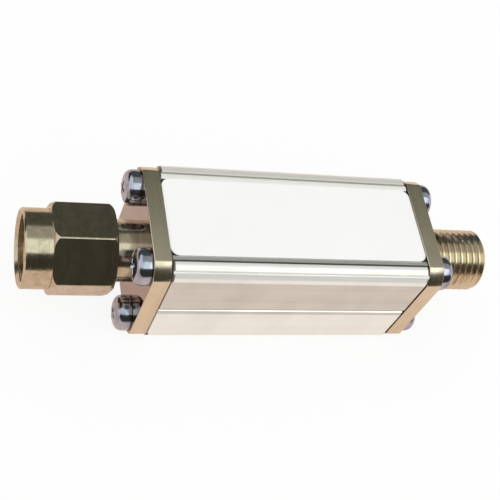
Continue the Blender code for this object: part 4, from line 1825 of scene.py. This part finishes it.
@dataclass
class Studio:
    """Pale floor, white surroundings, a soft overhead lamp and the cards that bright metal mirrors."""

    floor_size: float = 3.0
    floor_color: Color = (0.93, 0.93, 0.92)
    floor_roughness: float = 0.9
    floor_lift: float = 0.9
    floor_lift_mirrored: float = 0.75
    floor_mirrored: Color = (0.88, 0.66, 0.535)
    surround_seen: Color = (1.0, 1.0, 1.0)
    surround_light: Color = (0.88, 0.875, 0.87)
    lamp_size: tuple[float, float] = (0.40, 0.30)
    lamp_place: tuple[float, float, float] = (0.12, -0.18, 0.34)
    lamp_power: float = 0.318
    lamp_color: Color = (1.0, 0.985, 0.96)
    cards: tuple[Card, ...] = (
        Card("near_card", (0, -0.3, 0.155), (1.6, 0.31), True, (0.052, 0.052, 0.041)),
        Card("front_card", (0, -0.19, 0.0008), (1.6, 0.22), False, (0.045, 0.044, 0.034)),
        Card("far_card", (0.32, 0.3, 0.235), (0.96, 0.47), True, (0.092, 0.101, 0.086)),
        Card("low_card", (-0.48, 0.3, 0.11), (0.64, 0.22), True, (0.03, 0.03, 0.04)),
        Card("overhead_card", (0.27, 0.099, 0.36), (0.86, 0.258), False, (0.46, 0.47, 0.44)),
        Card("lamp_back", (0.02, -0.18, 0.345), (0.20, 0.30), False, (0.30, 0.43, 0.35)),
    )

    def build(self) -> None:
        """Set the scene up."""
        scene = bpy.context.scene
        scene.view_settings.view_transform = "Standard"
        self._surround(scene)
        self._floor()
        self._lamp()
        for card in self.cards:
            card.build()

    def _surround(self, scene: bpy.types.Scene) -> None:
        """Make the world white where it is seen or mirrored, and a soft even light elsewhere.

        Args:
            scene: the scene whose world it is.
        """
        scene.world = bpy.data.worlds.new("studio")
        scene.world.use_nodes = True
        sheet = Sheet(scene.world.node_tree)
        background = scene.world.node_tree.nodes["Background"]
        path = sheet.add("ShaderNodeLightPath")
        seen = sheet.maths("MAXIMUM", path.outputs["Is Camera Ray"], path.outputs["Is Glossy Ray"])
        seen = sheet.maths("MAXIMUM", seen, path.outputs["Is Transmission Ray"])
        color = sheet.blend(seen, opaque(self.surround_light), opaque(self.surround_seen))
        sheet.feed(background.inputs["Color"], color)

    def _floor(self) -> None:
        """Lay the floor, which stays near white and keeps a soft shadow."""
        deselect()
        bpy.ops.mesh.primitive_plane_add(size=self.floor_size)
        floor = bpy.context.object
        floor.name = "floor"
        material = bpy.data.materials.new("pale_floor")
        material.use_nodes = True
        tree = material.node_tree
        sheet = Sheet(tree)
        shader = tree.nodes["Principled BSDF"]
        shader.inputs["Base Color"].default_value = opaque(self.floor_color)
        shader.inputs["Roughness"].default_value = self.floor_roughness
        path = sheet.add("ShaderNodeLightPath")
        mirrored = sheet.maths("MAXIMUM", path.outputs["Is Glossy Ray"], path.outputs["Is Transmission Ray"])
        mirrored = sheet.maths("MULTIPLY", mirrored, self.floor_lift_mirrored)
        seen = path.outputs["Is Camera Ray"]
        direct = sheet.maths("MULTIPLY", seen, self.floor_lift)
        tone = sheet.blend(seen, opaque(self.floor_mirrored), opaque(self.surround_seen))
        glow = sheet.add("ShaderNodeEmission", Color=tone, Strength=1.0)
        mix = sheet.add("ShaderNodeMixShader")
        sheet.feed(mix.inputs[0], sheet.maths("MAXIMUM", direct, mirrored))
        sheet.feed(mix.inputs[1], shader.outputs[0])
        sheet.feed(mix.inputs[2], glow.outputs[0])
        sheet.feed(tree.nodes["Material Output"].inputs["Surface"], mix.outputs[0])
        floor.data.materials.append(material)

    def _lamp(self) -> None:
        """Hang the large soft lamp over the part."""
        data = bpy.data.lights.new("softbox", "AREA")
        data.shape = "RECTANGLE"
        data.size, data.size_y = self.lamp_size
        data.energy = self.lamp_power
        data.color = self.lamp_color
        lamp = bpy.data.objects.new("softbox", data)
        bpy.context.scene.collection.objects.link(lamp)
        lamp.location = self.lamp_place


@dataclass
class PhotoCamera:
    """The photograph's view, as a pinhole camera about the part's axis."""

    azimuth: float = -34.430
    elevation: float = 52.488
    roll: float = 30.164
    distance: float = 0.103622
    aim_along: float = -0.001352
    aim_up: float = 0.000415
    lens: float = 75.04
    sensor: float = 36.0
    near_clip: float = 0.001
    far_clip: float = 10.0

    def build(self, axis_height: float) -> None:
        """Set the camera up.

        Args:
            axis_height: height of the connectors' axis.
        """
        azimuth, elevation = math.radians(self.azimuth), math.radians(self.elevation)
        roll = math.radians(self.roll)
        back = Vector(
            (
                math.sin(azimuth) * math.cos(elevation),
                -math.cos(azimuth) * math.cos(elevation),
                math.sin(elevation),
            )
        )
        level = (-back).cross(Vector((0, 0, 1))).normalized()
        upright = level.cross(-back)
        right = level * math.cos(roll) + upright * math.sin(roll)
        up = upright * math.cos(roll) - level * math.sin(roll)
        target = Vector((self.aim_along, 0, axis_height)) + up * self.aim_up
        data = bpy.data.cameras.new("photo_camera")
        data.lens = self.lens
        data.sensor_width = self.sensor
        data.clip_start = self.near_clip
        data.clip_end = self.far_clip
        camera = bpy.data.objects.new("photo_camera", data)
        bpy.context.scene.collection.objects.link(camera)
        rotation = Matrix((right, up, back)).transposed().to_4x4()
        camera.matrix_world = Matrix.Translation(target + back * self.distance) @ rotation
        bpy.context.scene.camera = camera


def main() -> None:
    """Dress the part and set up the studio and the camera."""
    logging.basicConfig(level=logging.INFO, format="%(message)s")
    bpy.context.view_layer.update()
    flange = Flange()
    layout = Layout.from_frame(flange.thickness)
    PhotoCamera().build(layout.axis_height)
    LOG.info("camera set")
    Studio().build()
    LOG.info("studio set")
    finishes = Finishes(layout.axis_height)
    LOG.info("finishes made")
    for maker in (
        ExtrudedHousing(layout),
        BlankLabel(),
        PlugConnector(layout, flange),
        CouplingNut(layout),
        JackConnector(layout, flange),
        FlangeScrews(layout, flange),
        HiddenPieces(),
    ):
        maker.build(finishes)
        LOG.info("%s built", type(maker).__name__)


if __name__ == "__main__":
    main()
